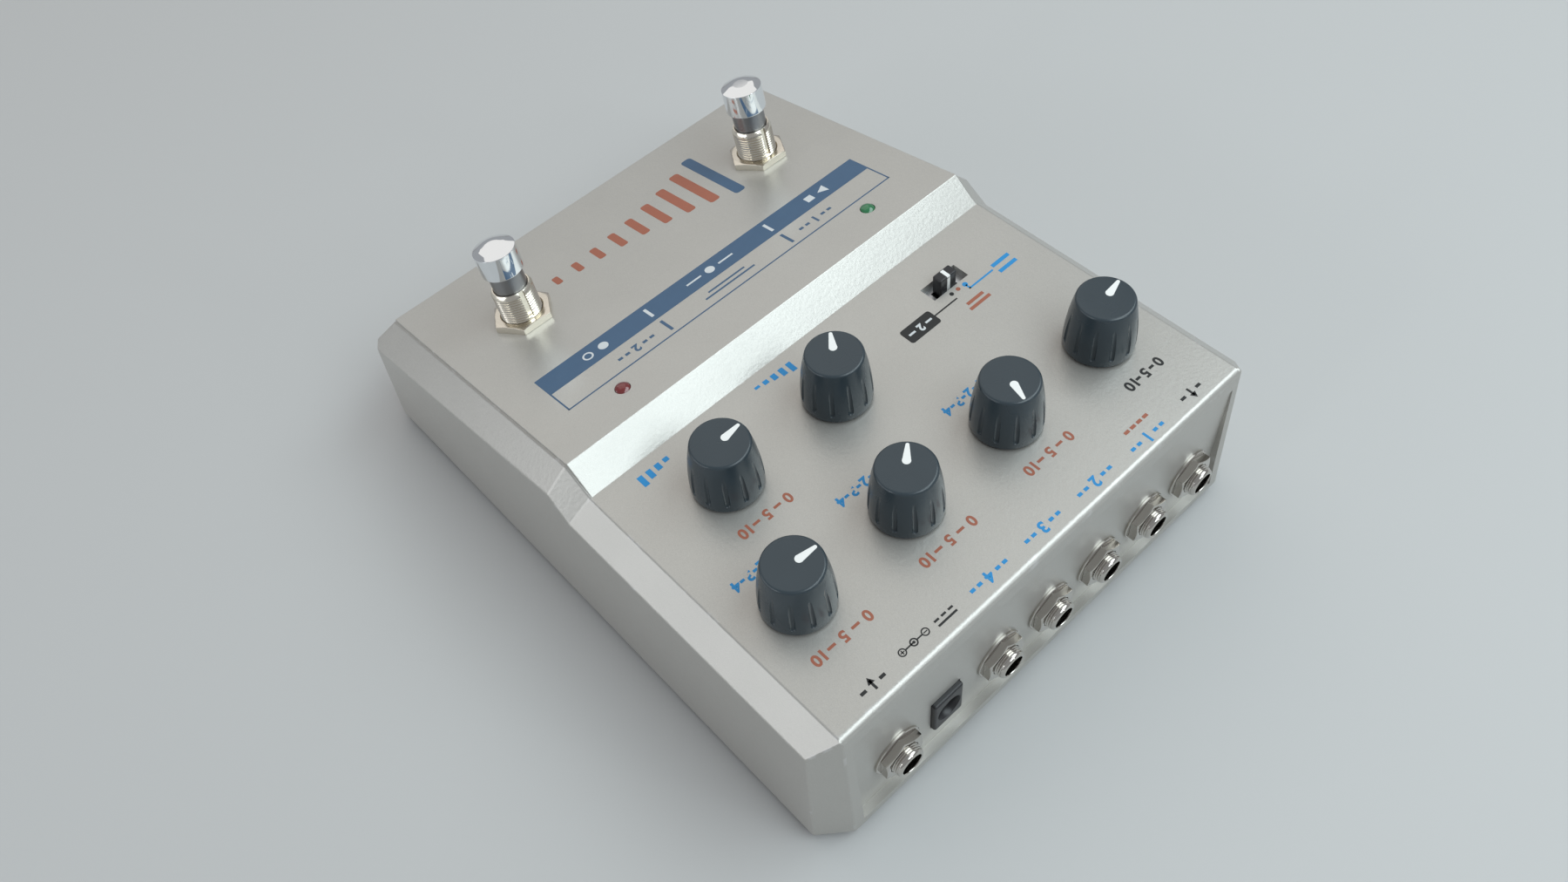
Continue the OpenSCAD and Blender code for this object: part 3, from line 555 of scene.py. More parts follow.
# %% Saw the two blocks
RAW_HALF_W, RAW_REAR, RAW_FRONT, RAW_TOP = 100.0, 8.0, -215.0, 14.0
FRONT_BLOCK_END = -86.3  # the front block runs in under the control panel
HOLLOW_STEP_Y = -99.4
HOLLOW_BELOW = 4.0  # the hollow runs on below the lower edge
CORNER_GAP, FLAT_WITHIN = 0.12, 0.4  # millimetres and degrees


def case_form(name, inset):
    """The casting's outside, or with an inset its hollow."""
    low = LOWER_EDGE - (HOLLOW_BELOW if inset else 0.0)

    def cut(piece, point, normal):
        normal = Vector(normal).normalized()
        flat_normals.append(normal)
        keep_below(piece, Vector(point) - inset * normal, normal)

    rear_end = HOLLOW_STEP_Y if inset else STEP_AT_WALL_Y
    rear = block(name, (-RAW_HALF_W, rear_end, low), (RAW_HALF_W, RAW_REAR, -inset))
    front = block(name + "_front", (-RAW_HALF_W, RAW_FRONT, low), (RAW_HALF_W, FRONT_BLOCK_END, RAW_TOP))
    cut(rear, (0, 0, 0), (0, 1, 0) if inset else (0, math.cos(DRAFT), math.sin(DRAFT)))
    cut(front, STRIP_RIDGE, FOOT_UP)
    cut(front, STRIP_RIDGE, STEP_UP)
    cut(front, FRONT_TOP, FRONT_STRIP)
    cut(front, FRONT_WALL, (0, -math.cos(DRAFT), math.sin(DRAFT)))
    for side in (-1, 1):
        across = Vector((side, 0, 0))
        edge = across * HALF_TOP
        cut(rear, edge, across + UP)
        cut(front, edge + STRIP_RIDGE, across + FOOT_UP)
        cut(front, edge + STRIP_RIDGE, across + STEP_UP)
        wall_top = across * (HALF_TOP + STRIP) - UP * STRIP
        wall_normal = across * math.cos(DRAFT) + UP * math.sin(DRAFT)
        cut(rear, wall_top, wall_normal)
        cut(front, wall_top, wall_normal)
        cut(rear, edge, (side * math.cos(REAR_CORNER), math.sin(REAR_CORNER), math.tan(DRAFT)))
        cut(front, across * FRONT_CORNER_X + FRONT_WALL, (side, -1, math.tan(DRAFT) * math.sqrt(2)))
    combine(rear, front, "UNION")
    start_edit(rear)
    bpy.ops.mesh.remove_doubles(threshold=CORNER_GAP * MM)
    bpy.ops.mesh.dissolve_limited(angle_limit=math.radians(FLAT_WITHIN))
    bpy.ops.mesh.normals_make_consistent(inside=False)
    end_edit()
    return rear


housing = case_form("case_shell", 0.0)
print("case outside", len(housing.data.polygons), "faces")

# %% Round the edges by weight
SOFT_R, CRISP_SHARE, ROUND_STEPS = 1.9, 0.24, 4
LEAST_ANGLE = 8  # degrees: a flatter edge stays as it is
NEAR = 0.2  # millimetres


def round_by_weight(piece, widest, weight_of, segments):
    """Rounds each edge by its own share of the widest radius. weight_of gets the edge's middle and angle."""
    mesh = piece.data
    faces_at = {}
    for face in mesh.polygons:
        for key in face.edge_keys:
            faces_at.setdefault(key, []).append(face.normal)
    weights = mesh.attributes.new("bevel_weight_edge", "FLOAT", "EDGE")
    for edge in mesh.edges:
        normals = faces_at.get(tuple(sorted(edge.vertices)), [])
        angle = math.degrees(normals[0].angle(normals[1])) if len(normals) == 2 else 0.0
        middle = sum((mesh.vertices[i].co for i in edge.vertices), Vector()) / 2 / MM
        weights.data[edge.index].value = weight_of(middle, angle)
    apply_modifier(piece, "BEVEL", limit_method="WEIGHT", width=widest * MM, segments=segments)
    if "bevel_weight_edge" in piece.data.attributes:
        piece.data.attributes.remove(piece.data.attributes["bevel_weight_edge"])


def case_edge_weight(middle, angle):
    if angle < LEAST_ANGLE or middle.z < LOWER_EDGE + NEAR:
        return 0.0
    is_rear_top = abs(middle.y) < NEAR and abs(middle.z) < NEAR and abs(middle.x) < HALF_TOP / 2
    return 1.0 if is_rear_top else CRISP_SHARE


round_by_weight(housing, SOFT_R, case_edge_weight, ROUND_STEPS)
print("rounded case", len(housing.data.polygons), "faces")

# %% The raised foot panel
RAISED_HALF_W, RAISED_FRONT, RAISED_REAR = 74.6, -199.4, -93.5
raised = block("raised_panel", (-RAISED_HALF_W, RAISED_FRONT, -14), (RAISED_HALF_W, RAISED_REAR, 8))
keep_below(raised, RIDGE, FOOT_UP)
keep_below(raised, RIDGE, STEP_FACE)
keep_below(raised, (0, -94.4, -1.2), (0, 0.109, -1))
soften(raised, 0.3, angle=5)
combine(housing, raised, "UNION")
print("with its raised panel", len(housing.data.polygons), "faces")

# %% Places on the case
KNOBS = [(x, -34.0) for x in (-57.0, -19.0, 19.0, 57.0)] + [(x, -72.8) for x in (6.0, 46.0)]
JACKS_X, JACK_Z = [-60.0, -40.0, -20.0, 0.0, 20.0, 58.0], -32.5
INLET_X, INLET_Z = 40.0, -33.5
SLIDE_X, SLIDE_Y = -44.3, -80.0
FOOT_X, FOOT_Y, LAMP_Y = 47.5, -165.2, -114.5
POSTS = [(side * 75.7, y) for side in (-1, 1) for y in (-20.6, -103.7, -189.34)]
FEET = [(side * 61.9, y) for side in (-1, 1) for y in (-188.94, -18.2)]


def panel_height(y):
    """Height of the foot panel above the control panel."""
    return RIDGE.z + (y - RIDGE.y) * math.tan(SLOPE)


print(len(KNOBS), "knobs,", len(JACKS_X), "jacks,", len(POSTS), "screw posts,", len(FEET), "feet")

# %% Hollow
POST_R, POST_LOW, POST_HIGH = 4.0, -65.0, 25.0
RIB_REACH, RIB_HALF = 14.0, 1.3
hollow = case_form("case_hollow", WALL)
posts = []
for x, y in POSTS:
    post = add_primitive("cylinder", "post", vertices=32, radius=POST_R * MM,
                         depth=(POST_HIGH - POST_LOW) * MM,
                         location=Vector((x, y, (POST_LOW + POST_HIGH) / 2)) * MM)
    rib_end = x + math.copysign(RIB_REACH, x)
    rib = block("rib", (min(x, rib_end), y - RIB_HALF, POST_LOW), (max(x, rib_end), y + RIB_HALF, POST_HIGH))
    combine(post, rib, "UNION")
    posts.append(post)
combine(hollow, join("posts", posts), "DIFFERENCE")
combine(housing, hollow, "DIFFERENCE")
print("hollow case", len(housing.data.polygons), "faces")

# %% Recess and holes
KNOB_HOLE_R, LAMP_HOLE_R, SWITCH_HOLE_R, JACK_HOLE_R = 3.9, 2.35, 6.55, 4.9
SLOT_HALF_W, SLOT_HALF_D = 7.0, 2.9
INLET_HOLE_HALF_W, INLET_HOLE_HALF_H = 5.4, 7.15
RECESS_HALF_W, RECESS_LOW, RECESS_HIGH = 72.5, -49.0, -6.0


def drill(radius, place, tilt=0.0, length=14):
    hole = add_primitive("cylinder", "drill", vertices=48, radius=radius * MM, depth=length * MM,
                         location=Vector(place) * MM, rotation=(math.radians(tilt), 0, 0))
    bpy.ops.object.transform_apply()
    return hole


cutters = [drill(KNOB_HOLE_R, (x, y, -2), length=12) for x, y in KNOBS]
for x in (-FOOT_X, FOOT_X):
    cutters.append(drill(LAMP_HOLE_R, (x, LAMP_Y, panel_height(LAMP_Y))))
for x in (-FOOT_X, FOOT_X):
    cutters.append(drill(SWITCH_HOLE_R, (x, FOOT_Y, panel_height(FOOT_Y)), math.degrees(SLOPE)))
cutters += [drill(JACK_HOLE_R, (x, -1.5, JACK_Z), 90, length=12) for x in JACKS_X]
cutters.append(block("slot", (SLIDE_X - SLOT_HALF_W, SLIDE_Y - SLOT_HALF_D, -6),
                     (SLIDE_X + SLOT_HALF_W, SLIDE_Y + SLOT_HALF_D, 4)))
recess = block("recess", (-RECESS_HALF_W, 0, RECESS_LOW), (RECESS_HALF_W, 9, RECESS_HIGH))
combine(housing, recess, "DIFFERENCE")
combine(housing, join("cutters", cutters), "DIFFERENCE")
inlet_hole = block("inlet_hole", (INLET_X - INLET_HOLE_HALF_W, -6, INLET_Z - INLET_HOLE_HALF_H),
                   (INLET_X + INLET_HOLE_HALF_W, 6, INLET_Z + INLET_HOLE_HALF_H))
combine(housing, inlet_hole, "DIFFERENCE")
print("drilled case", len(housing.data.polygons), "faces")

# %% Rebate for the base plate
PLATE_TOP = -50.0
REBATE_HALF_W, REBATE_FRONT, REBATE_REAR, REBATE_LOW = 83.0, -205.8, -1.3, -54.0
REBATE_REAR_CORNER_X, REBATE_FRONT_CORNER_X = 77.2, 80.8
rebate = block("rebate", (-REBATE_HALF_W, REBATE_FRONT, REBATE_LOW), (REBATE_HALF_W, REBATE_REAR, PLATE_TOP))
for side in (-1, 1):
    keep_below(rebate, (side * REBATE_REAR_CORNER_X, 0, 0),
               (side * math.cos(REAR_CORNER), math.sin(REAR_CORNER), 0))
    keep_below(rebate, (side * REBATE_FRONT_CORNER_X, REBATE_FRONT, 0), (side, -1, 0))
plate = copy_of(rebate, "base_sheet")
combine(housing, rebate, "DIFFERENCE")
print("finished case", len(housing.data.polygons), "faces")

# %% Mark the rounded edges for the paint's wear
SAME_WAY = 0.9994  # cosine of about 2 degrees
marks = housing.data.attributes.new("rounded_edge", "FLOAT", "FACE")
turned = 0
for face in housing.data.polygons:
    is_flat = max(face.normal.dot(normal) for normal in flat_normals) > SAME_WAY
    marks.data[face.index].value = 0.0 if is_flat else 1.0
    turned += not is_flat
settle(housing)
smooth(housing, 25)
dress(housing, case_paint, "case", "case_paint", "housing")
print("faces on rounded edges", turned)

# %% [markdown]
# ## The underside
# A sheet of steel closes the case from below. It sits in a rebate behind a thin rim, and six pan-head
# screws and four rubber feet stand on it. The feet carry a shallow dish, so they grip by their rims.

# %% Base plate
PLATE_HALF_W = 82.8
keep_below(plate, (0, 0, PLATE_TOP), UP)
keep_below(plate, (0, 0, LOWER_EDGE), -UP)
for side in (1, -1):
    keep_below(plate, (side * PLATE_HALF_W, 0, 0), (side, 0, 0))
soften(plate, 0.25)
settle(plate)
smooth(plate)
dress(plate, plate_paint, "case", "plate_paint", "base_plate")

# %% Screws and feet
CROSS_HALF_L, CROSS_HALF_W = 1.5, 0.28
screw = turn("screw", [(1.5, 0.0), (2.3, 0.0), (2.8, -0.5), (2.75, -1.0), (2.3, -1.55), (1.4, -1.8)], 40)
cross = block("cross", (-CROSS_HALF_L, -CROSS_HALF_W, -3), (CROSS_HALF_L, CROSS_HALF_W, -0.8))
arm = block("cross_arm", (-CROSS_HALF_W, -CROSS_HALF_L, -3), (CROSS_HALF_W, CROSS_HALF_L, -0.8))
combine(cross, arm, "UNION")
combine(screw, cross, "DIFFERENCE")
places = [(x, y, LOWER_EDGE, 0, 31 * i) for i, (x, y) in enumerate(POSTS)]
screws = set_out("base_screw_heads", screw, places)
smooth(screws)
dress(screws, zinc, "case", "steel", "base_screws")

foot = turn("foot", [(9.0, 0.0), (9.0, -0.6), (8.7, -2.6), (8.2, -3.5), (6.6, -3.5), (6.2, -2.9),
                     (2.0, -2.6)])
feet = set_out("rubber_pads", foot, [(x, y, LOWER_EDGE) for x, y in FEET])
smooth(feet)
dress(feet, rubber, "case", "rubber", "rubber_feet")

# %% [markdown]
# ## Knobs
# Six moulded knobs sit on the shafts. Each is a cap with a flank that draws in towards the top, a small
# bright rounding at the rim and twelve narrow flutes for the fingers. A turned profile gives the cap with
# its hollow underside, and thin capsules cut the flutes. One knob is modelled, and each copy is turned to
# its own setting. The white pointer stays the CAD piece: its drop shape is exact already.

# %% Knob cap
KNOB_R, KNOB_TOP_R, RIM_R = 10.0, 8.2, 0.9
KNOB_FOOT, RIM_Z, KNOB_TOP = 0.8, 17.0, 17.9
FLANK_H, FLANK_STEPS = 16.3, 12
SHAFT_R, SHAFT_END = 3.02, 14.3  # bore for the shaft
SKIRT_R, SKIRT_TOP = 7.2, 5.8  # hollow under the knob


def arc(radius, height, across, along, angles):
    """Points on an arc about (radius, height) for a turned profile. Angles are in degrees."""
    turns = [math.radians(angle) for angle in angles]
    return [(radius + across * math.cos(a), height + along * math.sin(a)) for a in turns]


underside = [(SHAFT_R, SHAFT_END), (SHAFT_R, SKIRT_TOP), (SKIRT_R, SKIRT_TOP), (SKIRT_R, KNOB_FOOT)]
flank = [(9.75, KNOB_FOOT), (9.95, 0.95)]
for k in range(1, FLANK_STEPS):
    share = k / FLANK_STEPS
    flank.append((KNOB_R - (KNOB_R - KNOB_TOP_R) * share ** 2, KNOB_FOOT + FLANK_H * share))
rim = [(KNOB_TOP_R, RIM_Z)] + arc(KNOB_TOP_R - RIM_R, RIM_Z, RIM_R, RIM_R, (18, 36, 54, 72))
knob = turn("knob", underside + flank + rim + [(7.25, KNOB_TOP), (5.0, KNOB_TOP)], 96)
print("plain knob", len(knob.data.polygons), "faces")

# %% Flutes and settings
SETTINGS = [102.0, -20.0, 131.5, 86.0, 144.0, 96.0]
FLUTES, FLUTE_AT_R, FLUTE_FOOT, FLUTE_LEAN = 12, 10.27, 3.6, -3.1
flute = turn("flute", [(0.3, -0.8), (0.55, -0.65), (0.75, -0.4), (0.83, -0.1), (0.85, 0.1), (0.85, 16.0)], 28)
flutes = []
for k in range(FLUTES):
    groove = copy_of(flute, "groove")
    only(groove)
    groove.rotation_euler = (0, math.radians(FLUTE_LEAN), 0)
    groove.location = (FLUTE_AT_R * MM, 0, FLUTE_FOOT * MM)
    bpy.ops.object.transform_apply()
    groove.rotation_euler = (0, 0, math.radians(360 / FLUTES * (k + 0.5)))
    bpy.ops.object.transform_apply()
    flutes.append(groove)
bpy.data.objects.remove(flute)
combine(knob, join("flutes", flutes), "DIFFERENCE")
for i, ((x, y), setting) in enumerate(zip(KNOBS, SETTINGS), 1):
    piece = settle(copy_of(knob, f"knob_cap_{i}"), x, y, 0, spin=90 + setting)
    smooth(piece, 28)
    dress(piece, knob_plastic, f"knob_{i}_turn", "knob_plastic", f"knob_{i}")
bpy.data.objects.remove(knob)

# %% [markdown]
# ## Slide switch
# The lever is a small black block that slides in its slot. A narrow stem carries it through the bright roof
# of the switch, where a wider foot holds it in. A white stripe runs over its top and down the side that
# faces the jacks, so its place can be read from above. The block is bevelled, and the stripe is a thin band
# bent over the edge by extruding its end face downwards.

# %% Slide lever
LEVER_TOP = 4.0


def lever_block(name, half_w, half_d, low, high):
    """A block centred on the slide switch."""
    return block(name, (SLIDE_X - half_w, SLIDE_Y - half_d, low), (SLIDE_X + half_w, SLIDE_Y + half_d, high))


lever = lever_block("lever", 3.3, 1.7, -2.55, LEVER_TOP)
soften(lever, 0.45, segments=3)
combine(lever, lever_block("stem", 1.3, 0.9, -5.0, 0.0), "UNION")
lever_foot = lever_block("lever_foot", 4.8, 2.9, -6.85, -3.85)
soften(lever_foot, 0.2)
combine(lever, lever_foot, "UNION")
settle(lever)
smooth(lever)
dress(lever, black_plastic, "slide_lever_body", "black_plastic", "slide_lever")

# %% Lever stripe
STRIPE_HALF_W, STRIPE_PROUD = 0.6, 0.03
STRIPE_LEFT, STRIPE_RIGHT = SLIDE_X - STRIPE_HALF_W, SLIDE_X + STRIPE_HALF_W
stripe = block("lever_stripe", (STRIPE_LEFT, SLIDE_Y - 1.3, LEVER_TOP - 0.3),
               (STRIPE_RIGHT, SLIDE_Y + 1.5, LEVER_TOP + STRIPE_PROUD))
start_edit_on(stripe, "FACE", lambda face: face.normal.y > 0.9)
bpy.ops.mesh.extrude_region_move(TRANSFORM_OT_translate={"value": (0, 0.23 * MM, -0.35 * MM)})
end_edit()
drop = block("stripe_drop", (STRIPE_LEFT, SLIDE_Y + 1.45, -1.9),
             (STRIPE_RIGHT, SLIDE_Y + 1.7 + STRIPE_PROUD, LEVER_TOP - 0.4))
stripe = join("lever_stripe", [stripe, drop])
settle(stripe)
dress(stripe, pointer_white, "slide_lever_body", "pointer_white")

# %% [markdown]
# ## Footswitches
# Each footswitch is a tall threaded nickel bushing held by a hex nut. A dark steel plunger slides in it and
# carries a chrome cap with a broad bevel. The thread could be a true helix, but at this size closed rings
# look the same, and a turned profile makes them in one go. A keyway is cut down the bushing's rear side.
# The nut is a six-sided prism that is kept only where it overlaps a cone, which chamfers its corners as on
# a real nut.

# %% Helpers for nuts and threads
CREST_BELOW = 0.04  # a thread's crest stays this far under its radius


def hex_nut(name, across_flats, thickness, bore, spin=0.0):
    nut = add_primitive("cylinder", name, vertices=6, radius=across_flats / math.sqrt(3) * MM,
                        depth=thickness * MM, location=(0, 0, thickness / 2 * MM),
                        rotation=(0, 0, math.radians(30 + spin)))
    bpy.ops.object.transform_apply()
    half = across_flats / 2
    cone = turn("cone", [(half * 1.06, -0.5), (half * 1.3, 0.35), (half * 1.3, thickness - 0.9),
                         (half * 0.96, thickness), (half * 0.9, thickness + 0.5)], 72)
    combine(nut, cone, "INTERSECT")
    hole = turn("hole", [(bore, -1.0), (bore, thickness - 0.35), (bore + 0.5, thickness + 0.15),
                         (bore + 0.5, 9.0)], 72)
    combine(nut, hole, "DIFFERENCE")
    soften(nut, 0.12, angle=25)
    return nut


def thread(radius, depth, start, stop, pitch):
    """Rings of a thread from start to stop as (radius, height) points."""
    crest = radius - CREST_BELOW
    points = []
    height = start
    while height < stop - pitch / 2:
        points += [(radius - depth, height), (crest, height + pitch * 0.4), (crest, height + pitch * 0.6)]
        height += pitch
    return points + [(radius - depth, stop)]


print("helpers for nuts and threads ready")

# %% Footswitches
BUSHING_BORE_R, BUSHING_R, BUSHING_TOP = 5.2, 6.4, 12.0
FLANGE_R, FLANGE_LOW, FLANGE_HIGH = 8.5, -5.6, -4.4
PLUNGER_R = 4.07  # bore in the cap
CAP_R, CAP_LOW, CAP_TOP = 6.4, 18.0, 26.6
flange = [(BUSHING_BORE_R, FLANGE_LOW), (FLANGE_R, FLANGE_LOW), (FLANGE_R, FLANGE_HIGH), (6.35, FLANGE_HIGH),
          (6.35, -0.2)]
collar = [(6.3, 10.4), (6.38, 10.5), (6.38, 10.8), (6.2, 11.2), (5.9, 11.8), (5.75, BUSHING_TOP),
          (5.4, BUSHING_TOP), (BUSHING_BORE_R, 11.8)]
bushing = turn("bushing", flange + thread(BUSHING_R, 0.45, 0.1, 10.3, 0.85) + collar, 72, ring=True)
combine(bushing, block("keyway", (-0.85, 5.6, 2.6), (0.85, 7.4, 13.0)), "DIFFERENCE")
cap = turn("cap", [(PLUNGER_R, 22.6), (PLUNGER_R, CAP_LOW), (6.1, CAP_LOW), (6.33, 18.08), (CAP_R, 18.3),
                   (CAP_R, 25.45), (6.34, 25.57), (6.2, 25.65), (4.9, 26.2), (4.0, 26.52), (3.6, CAP_TOP),
                   (2.2, CAP_TOP)], 96)
nut = hex_nut("switch_nut", across_flats=17.0, thickness=2.4, bore=6.42)
places = [(x, FOOT_Y, panel_height(FOOT_Y), math.degrees(SLOPE)) for x in (-FOOT_X, FOOT_X)]
for word, place in zip(("left", "right"), places):
    sleeve = settle(copy_of(bushing, f"switch_bushing_{word}"), *place)
    smooth(sleeve, 28)
    dress(sleeve, warm_nickel, "case", "nickel", f"foot_{word}_bushing")
    button = settle(copy_of(cap, f"switch_cap_{word}"), *place)
    smooth(button, 30)
    dress(button, chrome, f"foot_{word}_press", "chrome", f"foot_{word}_cap")
for spare in (bushing, cap):
    bpy.data.objects.remove(spare)
nuts = set_out("switch_nuts", nut, places)
smooth(nuts, 28)
dress(nuts, warm_nickel, "case", "nickel", "foot_nuts")

# %% [markdown]
# ## Jacks and power inlet
# Six phone jacks poke through the rear wall. Each shows a flat washer, a thin hex nut, a few turns of
# thread and a polished domed mouth. They are turned like the bushings, with the axis laid along the case by
# a quarter turn. The power inlet is a black moulded block with a round socket. Its steel pin stays the CAD
# piece.

# %% Jacks
PLUG_R, SLEEVE_R, SHOULDER_R = 3.25, 4.72, 6.35
SHOULDER_LOW, SHOULDER_HIGH = -4.0, -2.6
WASHER_R, WASHER_T = 7.8, 0.8
shoulder = [(PLUG_R, SHOULDER_LOW), (SHOULDER_R, SHOULDER_LOW), (SHOULDER_R, SHOULDER_HIGH),
            (SLEEVE_R, SHOULDER_HIGH), (SLEEVE_R, 2.6)]
mouth = arc(3.55, 4.75, 0.95, 1.05, range(0, 91, 15)) + [(3.35, 5.72), (PLUG_R, 5.5)]
jack = turn("jack", shoulder + thread(4.75, 0.3, 2.75, 4.7, 0.65) + mouth, 72, ring=True)
washer = turn("washer", [(4.9, 0.0), (7.72, 0.0), (WASHER_R, 0.08), (WASHER_R, 0.62), (7.6, WASHER_T),
                         (5.0, WASHER_T)], ring=True)
jack_nut = hex_nut("jack_nut", across_flats=12.7, thickness=2.5, bore=4.77, spin=30)
for i, x in enumerate(JACKS_X, 1):
    sleeve = settle(copy_of(jack, f"jack_sleeve_{i}"), x, 0, JACK_Z, -90)
    smooth(sleeve, 30)
    dress(sleeve, nickel, "case", "nickel", f"jack_{i}")
bpy.data.objects.remove(jack)
washers = set_out("jack_washer_rings", washer, [(x, 0, JACK_Z, -90) for x in JACKS_X])
smooth(washers)
dress(washers, nickel, "case", "nickel", "jack_washers")
jack_nuts = set_out("jack_hex_nuts", jack_nut, [(x, WASHER_T, JACK_Z, -90) for x in JACKS_X])
smooth(jack_nuts, 28)
dress(jack_nuts, nickel, "case", "nickel", "jack_nuts")

# %% Power inlet
INLET_HALF_W, INLET_HALF_H = 5.25, 7.0
INLET_INNER, INLET_OUTER = -12.5, 1.5
inlet = block("inlet_block", (INLET_X - INLET_HALF_W, INLET_INNER, INLET_Z - INLET_HALF_H),
              (INLET_X + INLET_HALF_W, INLET_OUTER, INLET_Z + INLET_HALF_H))
soften(inlet, 0.7, segments=3)
socket = turn("socket", [(3.1, -8.0), (3.1, -0.3), (4.2, INLET_OUTER), (4.2, 3.0)])
only(socket)
socket.rotation_euler = (math.radians(-90), 0, 0)
socket.location = Vector((INLET_X, 0, INLET_Z)) * MM
bpy.ops.object.transform_apply()
combine(inlet, socket, "DIFFERENCE")
settle(inlet)
smooth(inlet)
dress(inlet, black_plastic, "case", "black_plastic", "inlet")

# %% [markdown]
# ## Printed marks
# The real panels are screen printed. Flat decals would need images, so each mark is a very thin slab of ink
# that stands a few hundredths of a millimetre proud of the paint. Plain numbers, dashes and arrows are made
# from blocks, discs and text that is turned into a mesh, and all marks of one ink are joined.

# %% Bars, discs and rings of ink
INK = (-0.05, 0.03)  # an ink slab's underside and top, in millimetres about the panel
OVER = (0.0, 0.05)  # the same for ink that is printed on other ink


def ink_bar(x0, y0, x1, y1, slab=INK):
    return block("ink", (x0, y0, slab[0]), (x1, y1, slab[1]))


def ink_bars(*boxes, slab=INK):
    return [ink_bar(*box, slab) for box in boxes]


def ink_disc(x, y, radius, sides=32, turned=0.0, slab=INK):
    thick, middle = slab[1] - slab[0], sum(slab) / 2
    disc = add_primitive("cylinder", "ink", vertices=sides, radius=radius * MM, depth=thick * MM,
                         location=Vector((x, y, middle)) * MM, rotation=(0, 0, math.radians(turned)))
    bpy.ops.object.transform_apply()
    return disc


def ink_ring(x, y, radius, line, slab=INK):
    ring = ink_disc(x, y, radius, slab=slab)
    combine(ring, ink_disc(x, y, radius - line, slab=(-1, 1)), "DIFFERENCE")
    return ring


print("ink stands", INK[1], "mm proud, and on other ink", OVER[1], "mm")

# %% Pads and numbers
DIGIT_SHARE = 0.72  # a digit's height as a share of the text size
DIGIT_BOLD = 0.16  # millimetres added around a digit's outline
TEXT_TALL = 3.2  # millimetres


def ink_pad(x0, y0, x1, y1, corner, slab=INK):
    """A bar with rounded corners."""
    pad = ink_bar(x0, y0, x1, y1, slab)

    def is_upright(edge):
        first, second = (pad.data.vertices[i].co for i in edge.vertices)
        return abs(first.z - second.z) > 0.5 * (slab[1] - slab[0]) * MM

    start_edit_on(pad, "EDGE", is_upright)
    bpy.ops.mesh.bevel(offset=corner * MM, segments=5)
    end_edit()
    return pad


def ink_number(body, x, y, tall, slab=INK):
    bpy.ops.object.select_all(action="DESELECT")
    bpy.ops.object.text_add()
    label = bpy.context.object
    label.data.body = body
    label.data.size = tall * MM / DIGIT_SHARE
    label.data.align_x = label.data.align_y = "CENTER"
    label.data.extrude = (slab[1] - slab[0]) / 2 * MM
    label.data.offset = DIGIT_BOLD * MM
    bpy.ops.object.convert(target="MESH")
    label = bpy.context.object
    label.location = Vector((x, y, sum(slab) / 2)) * MM
    bpy.ops.object.transform_apply()
    return label


print("numbers stand", TEXT_TALL, "mm tall")

# %% Rows of marks
DASH_GAP_HALF, DASH_HALF = 0.5, 0.5  # half the gap between two dashes, and half a dash's width


def dashed_number(body, x, y, width, tall=TEXT_TALL):
    """A number between two rows of dashes."""
    marks = [ink_number(body, x, y, tall)]
    inner, outer = 0.75 * tall, width / 2
    middle = (inner + outer) / 2
    for side in (-1, 1):
        for start, stop in ((inner, middle - DASH_GAP_HALF), (middle + DASH_GAP_HALF, outer)):
            marks.append(ink_bar(x + side * start, y - DASH_HALF, x + side * stop, y + DASH_HALF))
    return marks


def number_row(numbers, x, y, width):
    """Plain numbers spaced evenly over a width, with a short dash between neighbours."""
    marks = []
    pitch = width / (len(numbers) - 1)
    for k, body in enumerate(numbers):
        marks.append(ink_number(body, x - width / 2 + k * pitch, y, TEXT_TALL))
        if k:
            middle = x - width / 2 + (k - 0.5) * pitch
            marks.append(ink_bar(middle - 0.16 * pitch, y - 0.4, middle + 0.16 * pitch, y + 0.4))
    return marks


def print_ink(name, ink, marks, on_slope=False):
    marks = join(name, marks)
    clean(marks, 0.0001)
    if on_slope:
        settle(marks, 0, RIDGE.y, RIDGE.z, math.degrees(SLOPE))
    else:
        settle(marks)
    dress(marks, ink, "case", "case_paint")


print("helpers for printing ready")

# %% Red and blue marks on the control panel
DIAL = ["0", "5", "10"]
red = []
for x, y, width in ((55.9, -19.2, 16.0), (18.5, -19.6, 16.0), (-19.3, -19.3, 14.5), (45.5, -58.1, 14.5)):
    red += number_row(DIAL, x, y, width)
red += [ink_bar(-46.2 + 2.5 * k, -9.5, -44.4 + 2.5 * k, -8.5) for k in range(4)]
red += ink_bars((-50.0, -68.0, -41.8, -66.9), (-49.2, -70.0, -42.6, -68.9))
red.append(ink_disc(-45.2, -75.4, 0.7))
print_ink("print_red", ink_red, red)
blue = []
for number, x, y in (("1", -40.4, -4.4), ("2", -20.1, -5.2), ("3", -0.4, -5.6), ("4", 19.4, -5.7)):
    blue += dashed_number(number, x, y, 13.0, 3.4)
for x, y in ((58.7, -47.9), (23.0, -47.3), (-17.2, -47.6)):
    blue += number_row(["1", "2", "3", "4"], x, y, 13.0)
for x, heights in ((52.0, (1.5, 2.3, 3.1, 3.9)), (7.0, (3.6, 2.9, 2.2, 1.5, 0.9))):
    blue += [ink_bar(x + 2.9 * k, -91.2, x + 2.9 * k + 1.7, -91.2 + tall) for k, tall in enumerate(heights)]
blue += ink_bars((-65.5, -71.9, -58.4, -70.6), (-65.5, -74.9, -58.4, -73.6), (-57.6, -73.5, -47.6, -72.9),
                 (-48.2, -74.9, -47.6, -72.9))
blue.append(ink_disc(-47.9, -75.2, 0.85))
print_ink("print_blue", ink_blue, blue)

